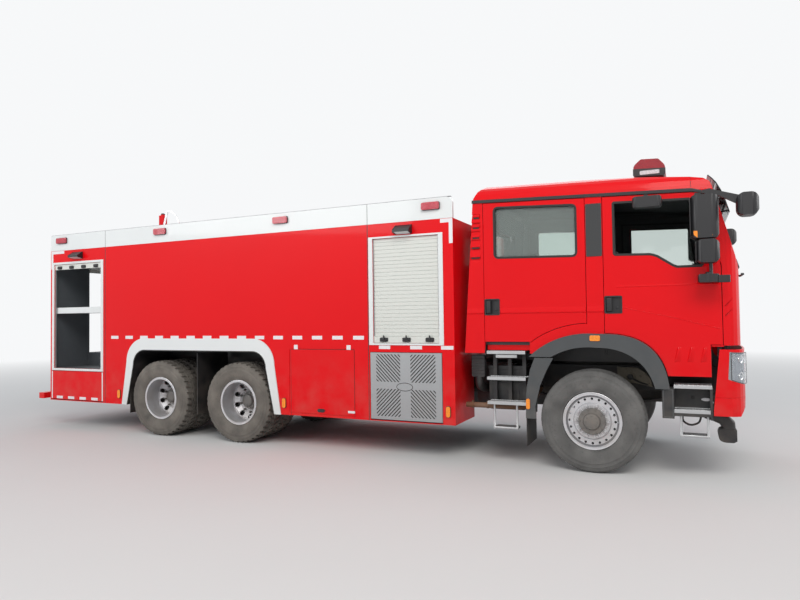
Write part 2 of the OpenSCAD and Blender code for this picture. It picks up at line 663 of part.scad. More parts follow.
// Roller shutters: shut at the front lockers, rolled up at the rear
slat_h = 45;
slat_t = 9;
module slats(x, z) {
    count = floor((z[1] - z[0]) / slat_h);
    pitch = (z[1] - z[0]) / count;
    right_plate(half_body - 30, half_body - 30 + slat_t) translate([x[0], z[0]])
        square([x[1] - x[0], z[1] - z[0]]);
    for (i = [0:count - 1])
        right_plate(half_body - 22, half_body - 16) translate([x[0], z[0] + i * pitch + 4])
            square([x[1] - x[0], pitch - 8]);
}
roll_r = 85;
module shutters() {
    fx = [front_open_x[0] + seat_gap, front_open_x[1] - seat_gap];
    rx = [rear_open_x[0] + seat_gap, rear_open_x[1] - seat_gap];
    roll_x = [body_rear_x + locker_t + seat_gap, rear_joint_x - 1 - locker_t - seat_gap];
    color(white) from_axle() {
        both_sides() {
            slats(fx, [front_opening_z[0] + 80, front_opening_z[1] - 2]);
            right_plate(half_body - 32, half_body - 6) translate([fx[0], front_opening_z[0] + 4])
                square([fx[1] - fx[0], 77]);
            rod_x(roll_x, -half_body + locker_t + 20 + roll_r, rear_opening_z[1] + 20 + roll_r / 2, roll_r);
            right_plate(half_body - 30, half_body - 8) translate([rx[0], rear_opening_z[1] - 82])
                square([rx[1] - rx[0], 78]);
            block(rx, [-half_body + 29, -half_body + locker_t + 30],
                [rear_opening_z[1] - 30, rear_opening_z[1] - 20]);
            block(rx, [-half_body + locker_t + 20, -half_body + locker_t + 30],
                [rear_opening_z[1] - 30, rear_opening_z[1] + 60]);
        }
        rod_y(body_rear_x + locker_t + 20 + roll_r, [-rear_door_y - 50, rear_door_y + 50],
            rear_opening_z[1] + 20 + roll_r / 2, roll_r);
        both_sides() block([body_rear_x + locker_t + roll_r, body_rear_x + locker_t + 40 + roll_r],
            [-rear_door_y - 62, -rear_door_y - 49], [rear_opening_z[1] + 20,
                body_top - locker_t - seat_gap]);
        block([body_rear_x + 8, body_rear_x + 30], [-rear_door_y + seat_gap, rear_door_y - seat_gap],
            [rear_opening_z[1] - 82, rear_opening_z[1] - 4]);
        block([body_rear_x + 29, body_rear_x + locker_t + 30],
            [-rear_door_y + seat_gap, rear_door_y - seat_gap],
            [rear_opening_z[1] - 30, rear_opening_z[1] - 20]);
        block([body_rear_x + locker_t + 20, body_rear_x + locker_t + 30],
            [-rear_door_y + seat_gap, rear_door_y - seat_gap],
            [rear_opening_z[1] - 30, rear_opening_z[1] + 60]);
    }
}

// White frames around the shutters and white trims around the rear arches
module frame_ring(x, z, side_w, end_w) {
    difference() {
        translate([x[0] - side_w, z[0] - end_w]) square([x[1] - x[0] + 2 * side_w,
            z[1] - z[0] + 2 * end_w]);
        translate([x[0], z[0]]) square([x[1] - x[0], z[1] - z[0]]);
    }
}
module side_trims() {
    out = half_body + seat_gap;
    color(white) from_axle() {
        both_sides() {
            right_plate(out, out + 9) frame_ring(front_open_x, front_opening_z, 55, 22);
            right_plate(out, out + 9) frame_ring(rear_open_x, rear_opening_z, 50, 34);
            right_plate(out, out + 14) difference() {
                outer_arch();
                inner_arch();
            }
        }
        rotate([0, 0, 180]) translate([-body_rear_x + seat_gap, 0, 0]) rotate([90, 0, 90])
            linear_extrude(9) frame_ring([-rear_door_y, rear_door_y],
                [tunnel_top + 35, rear_opening_z[1]], 40, 40);
    }
}

// Fold-down step panels, hinged along their lower edge
flap_t = 30;
flap_gap = 6;
module flap_plate(x, z, slots) {
    rod_x([x[0] - 18, x[1] + 18], -flap_pin_y, flap_pin_z, flap_pin_r);
    difference() {
        block(x, [-half_body, -half_body + flap_t], z);
        if (slots) {
            mid_x = (x[0] + x[1]) / 2;
            mid_z = (z[0] + z[1]) / 2;
            for (sx = [-1, 1], sz = [-1, 1], i = [0:5])
                translate([mid_x + sx * (70 + i * 58), -half_body - 1, mid_z + sz * 195])
                    rotate([0, sx * sz * 45, 0]) translate([-7, 0, -105]) cube([14, 8, 210]);
        }
    }
}
module step_flap_front(side) {
    color(silver) from_axle() on_side(side)
        flap_plate([front_flap_x[0] + flap_gap, front_flap_x[1] - flap_gap],
            [front_flap_z[0] + 14, front_flap_z[1] - flap_gap], true);
}
module step_flap_rear(side) {
    color(red) from_axle() on_side(side)
        flap_plate([rear_flap_x[0] + flap_gap, rear_flap_x[1] - flap_gap],
            [rear_flap_z[0] + 14, rear_flap_z[1] - flap_gap], false);
}

// Fire pump and its outlets in the rear opening
outlet_r = 33;
outlet_l = 120;
inlet_r = 63;
module outlet(y, z, bore, l) {
    rear = body_rear_x + 322;
    difference() {
        union() {
            rod_x([rear - l, rear - seat_gap], y, z, bore + 9);
            rod_x([rear - l, rear - l + 34], y, z, bore + 18);
        }
        rod_x([rear - l - 1, rear - 4], y, z, bore);
    }
}
module pump_unit() {
    color(grey) from_axle() {
        block([body_rear_x + 330, rear_joint_x - 100], [-410, 410], [tunnel_top + 35 + seat_gap, 1790]);
        block([body_rear_x + 322, body_rear_x + 331], [-380, 380], [1180, 1770]);
        for (y = [-250, 250]) outlet(y, 1330, outlet_r, outlet_l);
        outlet(0, 1290, inlet_r, outlet_l + 20);
    }
}

// Shelf trays in the rear locker
shelf_z = 1786;
module locker_shelves() {
    x = [body_rear_x + locker_t + seat_gap, rear_joint_x - 1 - locker_t - seat_gap];
    y = [-half_body + locker_t + 8, -700];
    color(white) from_axle() both_sides() {
        difference() {
            block(x, y, [shelf_z, shelf_z + 92]);
            block([x[0] + 12, x[1] - 12], [y[0] + 12, y[1] - 12], [shelf_z + 12, shelf_z + 93]);
        }
    }
}

// Hatches on the deck and the water monitor behind them
hatch_x = [for (share = [0.163, 0.408, 0.653]) front_joint_x - tank_l * share];
module roof_hatches() {
    color(silver) from_axle() for (x = hatch_x) {
        translate([x, 0, body_top + seat_gap]) cylinder(r = 260, h = 45);
        translate([x, 0, body_top + 44]) cylinder(r = 285, h = 26);
    }
}
monitor_x = rear_joint_x + 10;
monitor_base_h = 260;
turret_h = 180;
monitor_z = body_top + monitor_base_h + turret_h;
monitor_r = 98;
module monitor_base() {
    color(red) from_axle() {
        translate([monitor_x, 0, body_top + seat_gap]) cylinder(r = 150, h = 22);
        translate([monitor_x, 0, body_top + 20]) cylinder(r = 75, h = monitor_base_h - 20);
        translate([monitor_x, 0, body_top + monitor_base_h - 30]) cylinder(r = monitor_r, h = 30);
    }
}
swivel_pin_r = 34;
cheek_y = 95;
cheek_t = 30;
// Drive housing behind the pipe and a bent guard beside it
module monitor_drive(base) {
    block([monitor_x - 166, monitor_x - 72], [-45, 45], [base + 31, monitor_z + 228]);
    translate([monitor_x - 119, 0, monitor_z + 227]) cylinder(r1 = 44, r2 = 34, h = 16);
    translate([0, -cheek_y - 7, 0]) rotate([90, 0, 0]) linear_extrude(12)
        polygon([[monitor_x - 14, monitor_z + 10], [monitor_x + 70, monitor_z + 272],
            [monitor_x + 92, monitor_z + 284],
            [monitor_x + 190, monitor_z + 272], [monitor_x + 290, monitor_z + 190],
                [monitor_x + 352, monitor_z + 80],
            [monitor_x + 340, monitor_z - 10], [monitor_x + 250, monitor_z - 70],
                [monitor_x + 40, monitor_z - 90],
            [monitor_x + 40, monitor_z - 72], [monitor_x + 244, monitor_z - 52],
                [monitor_x + 322, monitor_z],
            [monitor_x + 332, monitor_z + 76], [monitor_x + 274, monitor_z + 178],
                [monitor_x + 182, monitor_z + 254],
            [monitor_x + 106, monitor_z + 264], [monitor_x + 26, monitor_z + 10]]);
}
module monitor_swivel() {
    base = body_top + monitor_base_h + seat_gap;
    color(red) from_axle() difference() {
        union() {
            translate([monitor_x, 0, base]) cylinder(r = monitor_r, h = 32);
            block([monitor_x - 166, monitor_x + 60], [-cheek_y - cheek_t / 2, cheek_y + cheek_t / 2],
                [base + 30, base + 52]);
            for (s = [-1, 1]) {
                block([monitor_x - 50, monitor_x + 50], [s * cheek_y - cheek_t / 2,
                    s * cheek_y + cheek_t / 2],
                    [base + 50, monitor_z]);
                rod_y(monitor_x, [s * cheek_y - cheek_t / 2, s * cheek_y + cheek_t / 2], monitor_z, 50);
            }
            monitor_drive(base);
        }
        rod_y(monitor_x, [-cheek_y - 40, cheek_y + 40], monitor_z, swivel_pin_r);
    }
}
nozzle_r = 36;
module monitor_barrel() {
    color(red) from_axle() {
        difference() {
            union() {
                rod_y(monitor_x, [-cheek_y + 21, cheek_y - 21], monitor_z, 60);
                rod_y(monitor_x, [-cheek_y - 30, cheek_y + 25], monitor_z, swivel_pin_r - 0.6);
                rod_x([monitor_x, monitor_x + 430], 0, monitor_z, 50);
                translate([monitor_x + 420, 0, monitor_z]) rotate([0, 90, 0])
                    cylinder(r1 = 50, r2 = 66, h = 120);
            }
            rod_x([monitor_x + 300, monitor_x + 541], 0, monitor_z, nozzle_r);
        }
    }
}

// Cab form: side, cross and plan outlines, each drawn in by a wall thickness
cab_floor_z = 1360;
cab_low_z = 1236;
gutter_rear = [-cab_rear + 118, 2950];
gutter_front = [cab_nose - 370, 2866];
front_low_z = 1336;
post_low_z = 1325;
door_nose_x = cab_nose - 300;
door_hinge_x = cab_nose - 195;
front_split_x = cab_nose - 189;
screen_top_x = cab_nose - 255;
pillar_foot_z = 2110;
roof_fall = 1.6;
reach = 4000;
function screen_x(z) = screen_top_x + (2900 - z) * (cab_nose - 30 - screen_top_x) / (2900 - 2080);
roof_mid = [467, 3076];
roof_end = [screen_top_x - 200, 3014];
function roof_line(x) = roof_mid[1] - (x - roof_mid[0]) * (roof_mid[1] - roof_end[1])
    / (roof_end[0] - roof_mid[0]);
function gutter_z(x) = gutter_rear[1] + (x - gutter_rear[0]) * (gutter_front[1] - gutter_rear[1])
    / (gutter_front[0] - gutter_rear[0]);
module cab_side_outline(t) {
    polygon([[-cab_rear + t, cab_low_z], [gutter_rear[0] + t, gutter_rear[1]],
        [gutter_rear[0] + 6 + t, 2992], [gutter_rear[0] + 48 + t, 3070 - t / 2],
            [gutter_rear[0] + 116 + t, 3142 - t],
        [gutter_rear[0] + 202, 3166 - t], [-682, 3150 - t], [roof_mid[0], roof_mid[1] - t],
            [roof_end[0], roof_end[1] - t],
        [screen_top_x - 75 - t / 2, 2988 - t], [screen_top_x - 22 - t, 2950 - t / 2],
            [screen_top_x - t, 2900],
        [cab_nose - 30 - t, 2080],
        [cab_nose - t, 1880], [cab_nose - t, front_low_z], [front_split_x, front_low_z],
            [front_split_x, post_low_z],
        [door_nose_x, post_low_z], [door_nose_x, cab_low_z]]);
}
// Half of the cross outline, from the side wall over the shoulder to the middle
function cross_half(w, t) = [[w, 900], [w, 2900], [w - 8, 2950], [w - 24, 3000 - t / 3],
    [w - 50, 3040 - t / 2],
    [w - 90, 3072 - t], [w - 180, 3110 - t], [w - 320, 3134 - t], [w - 600, 3156 - t], [0, 3166 - t]];
module cab_cross_outline(t) {
    half = cross_half(half_cab - t, t);
    polygon(concat(half, [for (i = [len(half) - 2:-1:0]) [-half[i][0], half[i][1]]]));
}
module cab_plan_outline(t) {
    w = half_cab - t;
    points = [[-cab_rear - 20 + t, w], [cab_nose - 184, w], [cab_nose - 140 - t / 2, w - 7],
        [cab_nose - 100 - t / 2, w - 28], [cab_nose - 66 - t / 2, w - 66], [cab_nose - 42 - t, w - 130],
        [cab_nose - 26 - t, w - 270], [cab_nose - 8 - t, w - 600], [cab_nose - t, w - 900],
            [cab_nose - t, 0]];
    polygon(both_y(points));
}
module cab_form(t) {
    intersection() {
        across(half_cab) cab_side_outline(t);
        translate([0, 0, 3100]) rotate([0, roof_fall, 0]) translate([-reach / 2, 0, -3100])
            rotate([90, 0, 90]) linear_extrude(reach) cab_cross_outline(t);
        linear_extrude(reach) cab_plan_outline(t);
    }
}
module cab_shell() {
    difference() {
        cab_form(0);
        difference() {
            cab_form(cab_t);
            block([-reach, reach], [-reach, reach], [0, cab_floor_z]);
        }
    }
}
module roof_region(drop) {
    across(reach) polygon([[-reach, gutter_z(-reach) - drop], [gutter_front[0], gutter_front[1] - drop],
        [reach, gutter_front[1] - drop], [reach, reach], [-reach, reach]]);
}
module front_region() {
    across(reach) polygon([[front_split_x, 0], [front_split_x, pillar_foot_z], [cab_nose - 355, 2840],
        [cab_nose - 370, reach], [reach, reach], [reach, 0]]);
}
// Door outlines, each grown by a gap for the opening
door_over_arch = 8;
wall_behind_arch = 30;
flare_r = 1010;
door_foot_z = 1030;
module front_door_outline(g) {
    difference() {
        polygon([[150 - g, 1000], [150 - g, gutter_z(150) - 22 + g],
            [cab_nose - 382 + g * 0.5, gutter_z(cab_nose - 382) - 22 + g],
            [cab_nose - 356 + g, 2825], [door_hinge_x + g, pillar_foot_z],
                [door_hinge_x + g, front_low_z + 9 - g],
            [door_nose_x + g, front_low_z + 9 - g], [door_nose_x + g, door_foot_z - g],
                [700, door_foot_z - g]]);
        arch_room(door_over_arch - g);
    }
}
module rear_door_outline(g) {
    difference() {
        polygon([[-1140 - g, 1365 - g], [-1140 - g, gutter_z(-1140) - 22 + g],
            [-33 + g, gutter_z(-33) - 22 + g],
            [-33 + g, 1365 - g]]);
        translate([arch_x, arch_z]) circle(flare_r - g, $fn = arch_fn);
    }
}
module front_window(g) {
    polygon([[251 - g, 2278 - g], [251 - g, 2800 + g], [263 - g, 2814 + g], [cab_nose - 462 + g, 2790 + g],
        [cab_nose - 446 + g, 2776 + g], [cab_nose - 350 + g, 2128 - g], [cab_nose - 364 + g, 2112 - g],
        [cab_nose - 580, 2112 - g], [cab_nose - 618, 2128 - g], [cab_nose - 760, 2226 - g],
        [cab_nose - 800, 2243 - g], [600, 2250 - g], [268 - g, 2262 - g]]);
}
module rear_window(g) {
    r = 52;
    hull() {
        for (c = [[-1020 + r, 2298 + r], [-1020 + r, 2872 - r], [-118 - r, 2828 - r], [-118 - r, 2272 + r]])
            translate(c) circle(r + g);
    }
}
// Hinge pins of the doors: distance ahead of the front axle, low end, high end
door_pin_r = 4.5;
door_pin_y = half_cab - 5;
front_door_pin = [cab_nose - 205, 1327, 2200];
rear_door_pin = [-43, 1530, 2902];
pin_end_gap = 1;
// Room about the front pin for the door's slanted edge as it swings
swing_room_r = 7.5;
module door_pin(at, r) {
    translate([at[0], -door_pin_y, at[1]]) cylinder(r = r, h = at[2] - at[1]);
}
module door_pin_hole(at) {
    door_pin([at[0], at[1] - pin_end_gap, at[2] + pin_end_gap], door_pin_r + seat_gap);
}
// Louvre of the rear pillar: its face slants out and down to a sharp lower edge
module louvre(z) {
    translate([-1300, 0, 0]) rotate([90, 0, 90]) linear_extrude(125)
        polygon([[-half_cab - 1, z + 1], [-half_cab + 16, z + 1], [-half_cab + 16, z - 6],
            [-half_cab - 1, z - 74]]);
}
rear_pane = [620, 2150, 2750];
module cab_walls() {
    gap = door_gap;
    color(red) from_axle() difference() {
        cab_shell();
        block([-cab_rear + cab_t, reach], [-half_cab + cab_t, half_cab - cab_t],
            [0, cab_floor_z + 1]);
        roof_region(seat_gap);
        front_region();
        both_sides() {
            right_plate(half_cab - cab_t - 1, half_cab + 1) {
                front_door_outline(gap);
                rear_door_outline(gap);
                translate([-1140 - gap, cab_low_z - 36]) square([510, 1365 - gap - cab_low_z + 36]);
                arch_room(-wall_behind_arch);
            }
            door_pin_hole(front_door_pin);
            door_pin_hole(rear_door_pin);
            for (i = [0:5]) louvre(2330 + i * 96);
        }
        block([-cab_rear - 1, -cab_rear + 200], [-rear_pane[0], rear_pane[0]],
            [rear_pane[1], rear_pane[2]]);
    }
}
module cab_roof() {
    color(red) from_axle() intersection() {
        cab_shell();
        roof_region(0);
        across(reach) polygon([[-reach, 2000], [screen_top_x + 5, 2000], [screen_top_x + 5, 2920],
            [screen_top_x - 55, reach], [-reach, reach]]);
    }
}
module cab_front() {
    color(red) from_axle() difference() {
        intersection() {
            cab_shell();
            translate([seat_gap, 0, 0]) front_region();
            block([0, reach], [-reach, reach], [front_low_z, 3060]);
        }
        roof_region(seat_gap);
        windscreen_hole();
        both_sides() {
            door_pin_hole(front_door_pin);
            door_pin([front_door_pin[0], pillar_foot_z, front_door_pin[2]], swing_room_r);
        }
        block([grille_x - 48, cab_nose + 50], [-grille_half, grille_half], grille_z);
        both_sides() for (i = [0:1]) corner_fin(1622 + i * 95);
    }
    color(red) from_axle() grille();
}
// Grille: a recess with slanted blades and upright posts before a closed back
grille_x = cab_nose - 30;
grille_half = 760;
grille_z = [1424, 1972];
module grille() {
    block([grille_x - 70, grille_x - 47], [-grille_half - 24, grille_half + 24],
        [grille_z[0] - 20, grille_z[1] + 20]);
    for (z = [grille_z[0] + 20:88:grille_z[1] - 60]) across(grille_half + 1)
        polygon([[grille_x - 48, z + 36], [grille_x, z], [grille_x, z + 12], [grille_x - 48, z + 48]]);
    for (y = [-380, 0, 380])
        block([grille_x - 48, grille_x - 8], [y - 11, y + 11], [grille_z[0] - 1, grille_z[1] + 1]);
}
// Slanted fin pocket in the cab's front corner
module corner_fin(z) {
    right_plate(half_cab - 30, half_cab + 1) polygon([[front_split_x + 14, z], [front_split_x + 26, z],
        [front_split_x + 92, z + 66], [front_split_x + 92, z + 84]]);
}
screen_z = [2105, 2840];
screen_half = 1010;
module windscreen_hole() {
    block([cab_nose - 430, cab_nose + 70], [-screen_half, screen_half], screen_z);
}
module windscreen() {
    color(glass) from_axle() intersection() {
        difference() {
            translate([-14, 0, 0]) cab_form(0);
            translate([-22, 0, 0]) cab_form(0);
        }
        block([cab_nose - 380, cab_nose + 70], [-screen_half + seat_gap, screen_half - seat_gap],
            [screen_z[0] + seat_gap, screen_z[1] - seat_gap]);
    }
    color(glass) from_axle() block([-cab_rear + 92, -cab_rear + 98],
        [-rear_pane[0] + seat_gap, rear_pane[0] - seat_gap],
        [rear_pane[1] + seat_gap, rear_pane[2] - seat_gap]);
}
module sun_visor() {
    x = screen_top_x;
    color(black) from_axle() {
        across(985) polygon([[x - 25, 3040], [x + 12, 3004], [x + 48, 2958], [x + 88, 2880],
            [x + 120, 2796], [x + 162, 2650],
            [x + 152, 2647], [x + 110, 2792], [x + 78, 2874], [x + 38, 2952], [x + 4, 2997],
                [x - 32, 3033]]);
        for (y = [-700, 0, 700]) translate([0, y, 0]) across(20)
            polygon([[screen_x(2850) + seat_gap, 2850], [screen_x(2868) + seat_gap, 2868],
                [x + 81, 2868], [x + 88, 2850]]);
    }
}
module light_bar() {
    color(red) from_axle() {
        across(760) polygon([[438, 3170], [452, 3146], [738, 3128], [752, 3150], [754, 3224],
            [742, 3250], [694, 3306],
            [680, 3313], [520, 3322], [506, 3316], [452, 3268], [438, 3240]]);
        both_sides() right_plate(500, 560) polygon([[540, roof_line(540) + seat_gap], [540, 3150],
            [640, 3150],
            [640, roof_line(640) + seat_gap]]);
    }
}
module cab_floor() {
    tunnel_half = 350;
    color(grey) from_axle() {
        block([-cab_rear + cab_t + seat_gap, cab_nose - 230],
            [-half_cab + cab_t + door_gap, half_cab - cab_t - door_gap],
            [cab_floor_z - 32, cab_floor_z - seat_gap]);
        both_sides() {
            block([770, cab_nose - 318], [-half_cab + cab_t + door_gap, -850], [1140, 1160]);
            block([770, cab_nose - 318], [-870, -850], [1159, cab_floor_z - 31]);
            right_plate(half_rail - 46 - 30, half_rail - 46)
                polygon([[tilt_x - 640, cab_floor_z - 31], [tilt_x - 200, cab_floor_z - 31],
                    [tilt_x - 140, 1180],
                    [tilt_x - 50, 1090], [tilt_x + 34, tilt_z + 34], [tilt_x + 34, tilt_z - 34],
                    [tilt_x - 34, tilt_z - 34], [tilt_x - 240, 1150], [tilt_x - 440, 1240],
                        [tilt_x - 640, 1290]]);
            rod_y(tilt_x, [-half_rail + 1, -half_rail + 47], tilt_z, tilt_pin_r);
        }
    }
}
module seat(x, y) {
    block([x, x + 470], [y - 240, y + 240], [cab_floor_z + 220, cab_floor_z + 360]);
    block([x - 90, x + 30], [y - 240, y + 240], [cab_floor_z + 330, cab_floor_z + 980]);
    block([x + 40, x + 400], [y - 180, y + 180], [cab_floor_z + seat_gap, cab_floor_z + 221]);
}
module seats() {
    color(grey) from_axle() {
        for (y = [-640, 640]) seat(260, y);
        for (y = [-750, -250, 250, 750]) seat(-1130, y);
    }
}
module dashboard() {
    x = cab_nose - 340;
    wheel_c = [x - 210, 640, cab_floor_z + 760];
    color(black) from_axle() {
        across(half_cab - cab_t - 100)
            polygon([[x, cab_floor_z + 300], [x + 195, cab_floor_z + 300], [x + 195, cab_floor_z + 680],
                [x + 150, cab_floor_z + 740], [x, cab_floor_z + 720], [x - 30, cab_floor_z + 560]]);
        translate(wheel_c) rotate([0, -28, 0]) {
            rotate_extrude() translate([222, 0]) circle(17, $fn = 24);
            for (a = [30, 150, 270]) rotate(a) translate([0, -18, -8]) cube([215, 36, 14]);
            translate([0, 0, -30]) cylinder(r = 62, h = 40);
            translate([0, 0, -400]) cylinder(r = 32, h = 375);
        }
        both_sides() block([x + 20, x + 100], [-half_cab + cab_t + 101, -half_cab + cab_t + 160],
            [cab_floor_z, cab_floor_z + 301]);
    }
}

// Doors and what they carry
module door_plate() {
    right_plate(half_cab - cab_t, half_cab) children();
}
handle_x = [150, -1140];
module handle_recess(x) {
    block([x + 14, x + 164], [-half_cab - 1, -half_cab + 26], [1672, 1832]);
}
module handle_bar(x) {
    block([x + 30, x + 70], [-half_cab - 14, -half_cab + 27], [1690, 1815]);
}
// Raised crease along a door's skin
module door_crease(x, z) {
    translate([x[0], 0, 0]) rotate([90, 0, 90]) linear_extrude(x[1] - x[0])
        polygon([[-half_cab + 1, z - 12], [-half_cab - 4, z - 2], [-half_cab - 4, z + 2],
            [-half_cab + 1, z + 12]]);
}
// Slanted rib low on the front door
module door_rib(x) {
    right_plate(half_cab - 1, half_cab + 9)
        polygon([[x, 1184], [x + 12, 1180], [x + 46, 1316], [x + 38, 1318]]);
}
module door_front(side) {
    color(red) from_axle() on_side(side) {
        difference() {
            door_plate() difference() {
                front_door_outline(0);
                front_window(0);
            }
            handle_recess(handle_x[0]);
        }
        handle_bar(handle_x[0]);
        door_crease([276, door_hinge_x - 30], 1936);
        for (i = [0:2]) door_rib(cab_nose - 620 + i * 116);
        door_pin(front_door_pin, door_pin_r);
    }
}
module door_rear(side) {
    color(red) from_axle() on_side(side) {
        difference() {
            door_plate() difference() {
                rear_door_outline(0);
                rear_window(0);
            }
            handle_recess(handle_x[1]);
        }
        handle_bar(handle_x[1]);
        door_crease([-965, -60], 1717);
        door_pin(rear_door_pin, door_pin_r);
    }
}
glass_t = 6;
module glass_front(side) {
    color(glass) from_axle() on_side(side)
        right_plate(half_cab - 34, half_cab - 34 + glass_t) front_window(-seat_gap);
}
module glass_rear(side) {
    color(glass) from_axle() on_side(side)
        right_plate(half_cab - 34, half_cab - 34 + glass_t) rear_window(-seat_gap);
}
mirror_y = half_cab + 200;
module housing(x, y, z, r, corner) {
    intersection() {
        translate([0, 0, z[0]]) linear_extrude(z[1] - z[0]) round_rect(x, [-y[1], -y[0]], r);
        right_plate(y[0] - 1, y[1] + 1) round_rect([x[0] - 1, x[1] + 1], z, corner);
    }
}
module mirrors(side) {
    x = cab_nose - 216;
    y = [mirror_y - 110, mirror_y + 110];
    color(black) from_axle() on_side(side) {
        housing([x - 240, x + 4], y, [2357, 2765], 62, 48);
        housing([x - 196, x + 4], [y[0] + 20, y[1]], [2126, 2344], 52, 58);
        translate([x - 72, -mirror_y, 1990]) cylinder(r = 16, h = 840);
        block([x - 174, x - 2], [-mirror_y + 20, -half_cab - seat_gap], [1950, 2016]);
        housing([x - 185, x], [half_cab + 40, mirror_y + 30], [1944, 2022], 20, 24);
        block([x - 134, x - 74], [-mirror_y - 15, -half_cab - 60], [2790, 2822]);
        block([x - 194, x - 154], [-half_cab - 90, -half_cab - seat_gap], [2770, 2822]);
        block([x - 193, x - 73], [-half_cab - 90, -half_cab - 59], [2790, 2822]);
        right_plate(mirror_y - 16, mirror_y + 16) polygon([[x - 110, 2772], [x - 110, 2826], [x - 60, 2826],
            [x + 206, 2738], [x + 206, 2668], [x + 150, 2672], [x - 20, 2772]]);
        housing([x + 150, x + 336], [mirror_y - 88, mirror_y + 88], [2548, 2757], 56, 70);
        if (side == "right") {
            block([560, 600], [-half_cab - 120, -half_cab - seat_gap], [2820, 2844]);
            housing([452, 728], [half_cab + 45, half_cab + 175], [2712, 2821], 40, 34);
        }
    }
}

chassis_rails();
engine_block();
front_axle();
rear_axles();
bumpers();
lamps();
side_steps();
mudguards();
tank_body();
front_locker();
rear_locker();
parapets();
shutters();
side_trims();
pump_unit();
locker_shelves();
roof_hatches();
monitor_base();
monitor_swivel();
monitor_barrel();
cab_floor();
cab_walls();
cab_roof();
cab_front();
windscreen();
sun_visor();
light_bar();
seats();
dashboard();
cab_fenders();
door_front("right");  // door_front_right
door_front("left");  // door_front_left
door_rear("right");  // door_rear_right
door_rear("left");  // door_rear_left
glass_front("left");  // glass_front_left
glass_rear("right");  // glass_rear_right
glass_rear("left");  // glass_rear_left
mirrors("right");  // mirrors_right
mirrors("left");  // mirrors_left
step_flap_front("right");  // step_flap_front_right
step_flap_front("left");  // step_flap_front_left
step_flap_rear("right");  // step_flap_rear_right
step_flap_rear("left");  // step_flap_rear_left
knuckle("right");  // knuckle_right
knuckle("left");  // knuckle_left
rim_front("right");  // rim_front_right
rim_front("left");  // rim_front_left
tyre_front("right");  // tyre_front_right
tyre_front("left");  // tyre_front_left
rims_twin(middle_x, "right");  // rims_middle_right
rims_twin(middle_x, "left");  // rims_middle_left
tyres_twin(middle_x, "right");  // tyres_middle_right
tyres_twin(middle_x, "left");  // tyres_middle_left
rims_twin(rear_x, "right");  // rims_rear_right
rims_twin(rear_x, "left");  // rims_rear_left
tyres_twin(rear_x, "right");  // tyres_rear_right
tyres_twin(rear_x, "left");  // tyres_rear_left
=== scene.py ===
import math
import bmesh
import bpy
from mathutils import Matrix, Vector
from mathutils.bvhtree import BVHTree

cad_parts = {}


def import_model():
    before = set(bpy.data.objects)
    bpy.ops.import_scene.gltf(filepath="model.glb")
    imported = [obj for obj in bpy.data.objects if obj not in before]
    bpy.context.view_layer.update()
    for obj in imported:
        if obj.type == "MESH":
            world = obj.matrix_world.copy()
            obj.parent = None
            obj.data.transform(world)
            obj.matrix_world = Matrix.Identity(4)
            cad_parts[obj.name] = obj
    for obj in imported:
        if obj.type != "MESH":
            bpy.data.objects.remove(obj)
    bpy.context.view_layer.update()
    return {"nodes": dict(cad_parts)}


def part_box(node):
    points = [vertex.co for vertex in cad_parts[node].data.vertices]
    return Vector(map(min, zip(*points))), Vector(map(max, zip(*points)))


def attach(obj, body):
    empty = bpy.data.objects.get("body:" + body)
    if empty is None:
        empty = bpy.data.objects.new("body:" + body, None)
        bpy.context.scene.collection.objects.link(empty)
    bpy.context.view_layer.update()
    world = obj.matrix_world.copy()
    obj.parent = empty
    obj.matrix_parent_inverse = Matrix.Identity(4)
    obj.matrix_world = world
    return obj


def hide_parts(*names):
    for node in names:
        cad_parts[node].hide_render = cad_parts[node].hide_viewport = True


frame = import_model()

nodes = frame["nodes"]

# Driving places in metres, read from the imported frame. X is counted from the front axle.
SIDES = {"right": -1, "left": 1}
rim_low, rim_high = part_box("rim_front_right")
AXLE = (rim_low.x + rim_high.x) / 2
WHEEL_Z = (rim_low.z + rim_high.z) / 2
HALF_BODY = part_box("tank_body")[1].y
BODY_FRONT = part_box("front_locker")[1].x - AXLE
BODY_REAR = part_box("rear_locker")[0].x - AXLE
FRONT_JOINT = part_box("front_locker")[0].x - AXLE
REAR_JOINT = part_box("rear_locker")[1].x - AXLE
DECK_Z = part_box("tank_body")[1].z
MIDDLE_X = sum(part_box("rims_middle_right")[i].x for i in (0, 1)) / 2 - AXLE
REAR_X = sum(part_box("rims_rear_right")[i].x for i in (0, 1)) / 2 - AXLE
# Places set here to the parts' own: half the cab's width, its front, and just outside the body's skin
HALF_CAB = 1.15
NOSE = 1.430
SKIN = HALF_BODY + 0.0003


# Materials

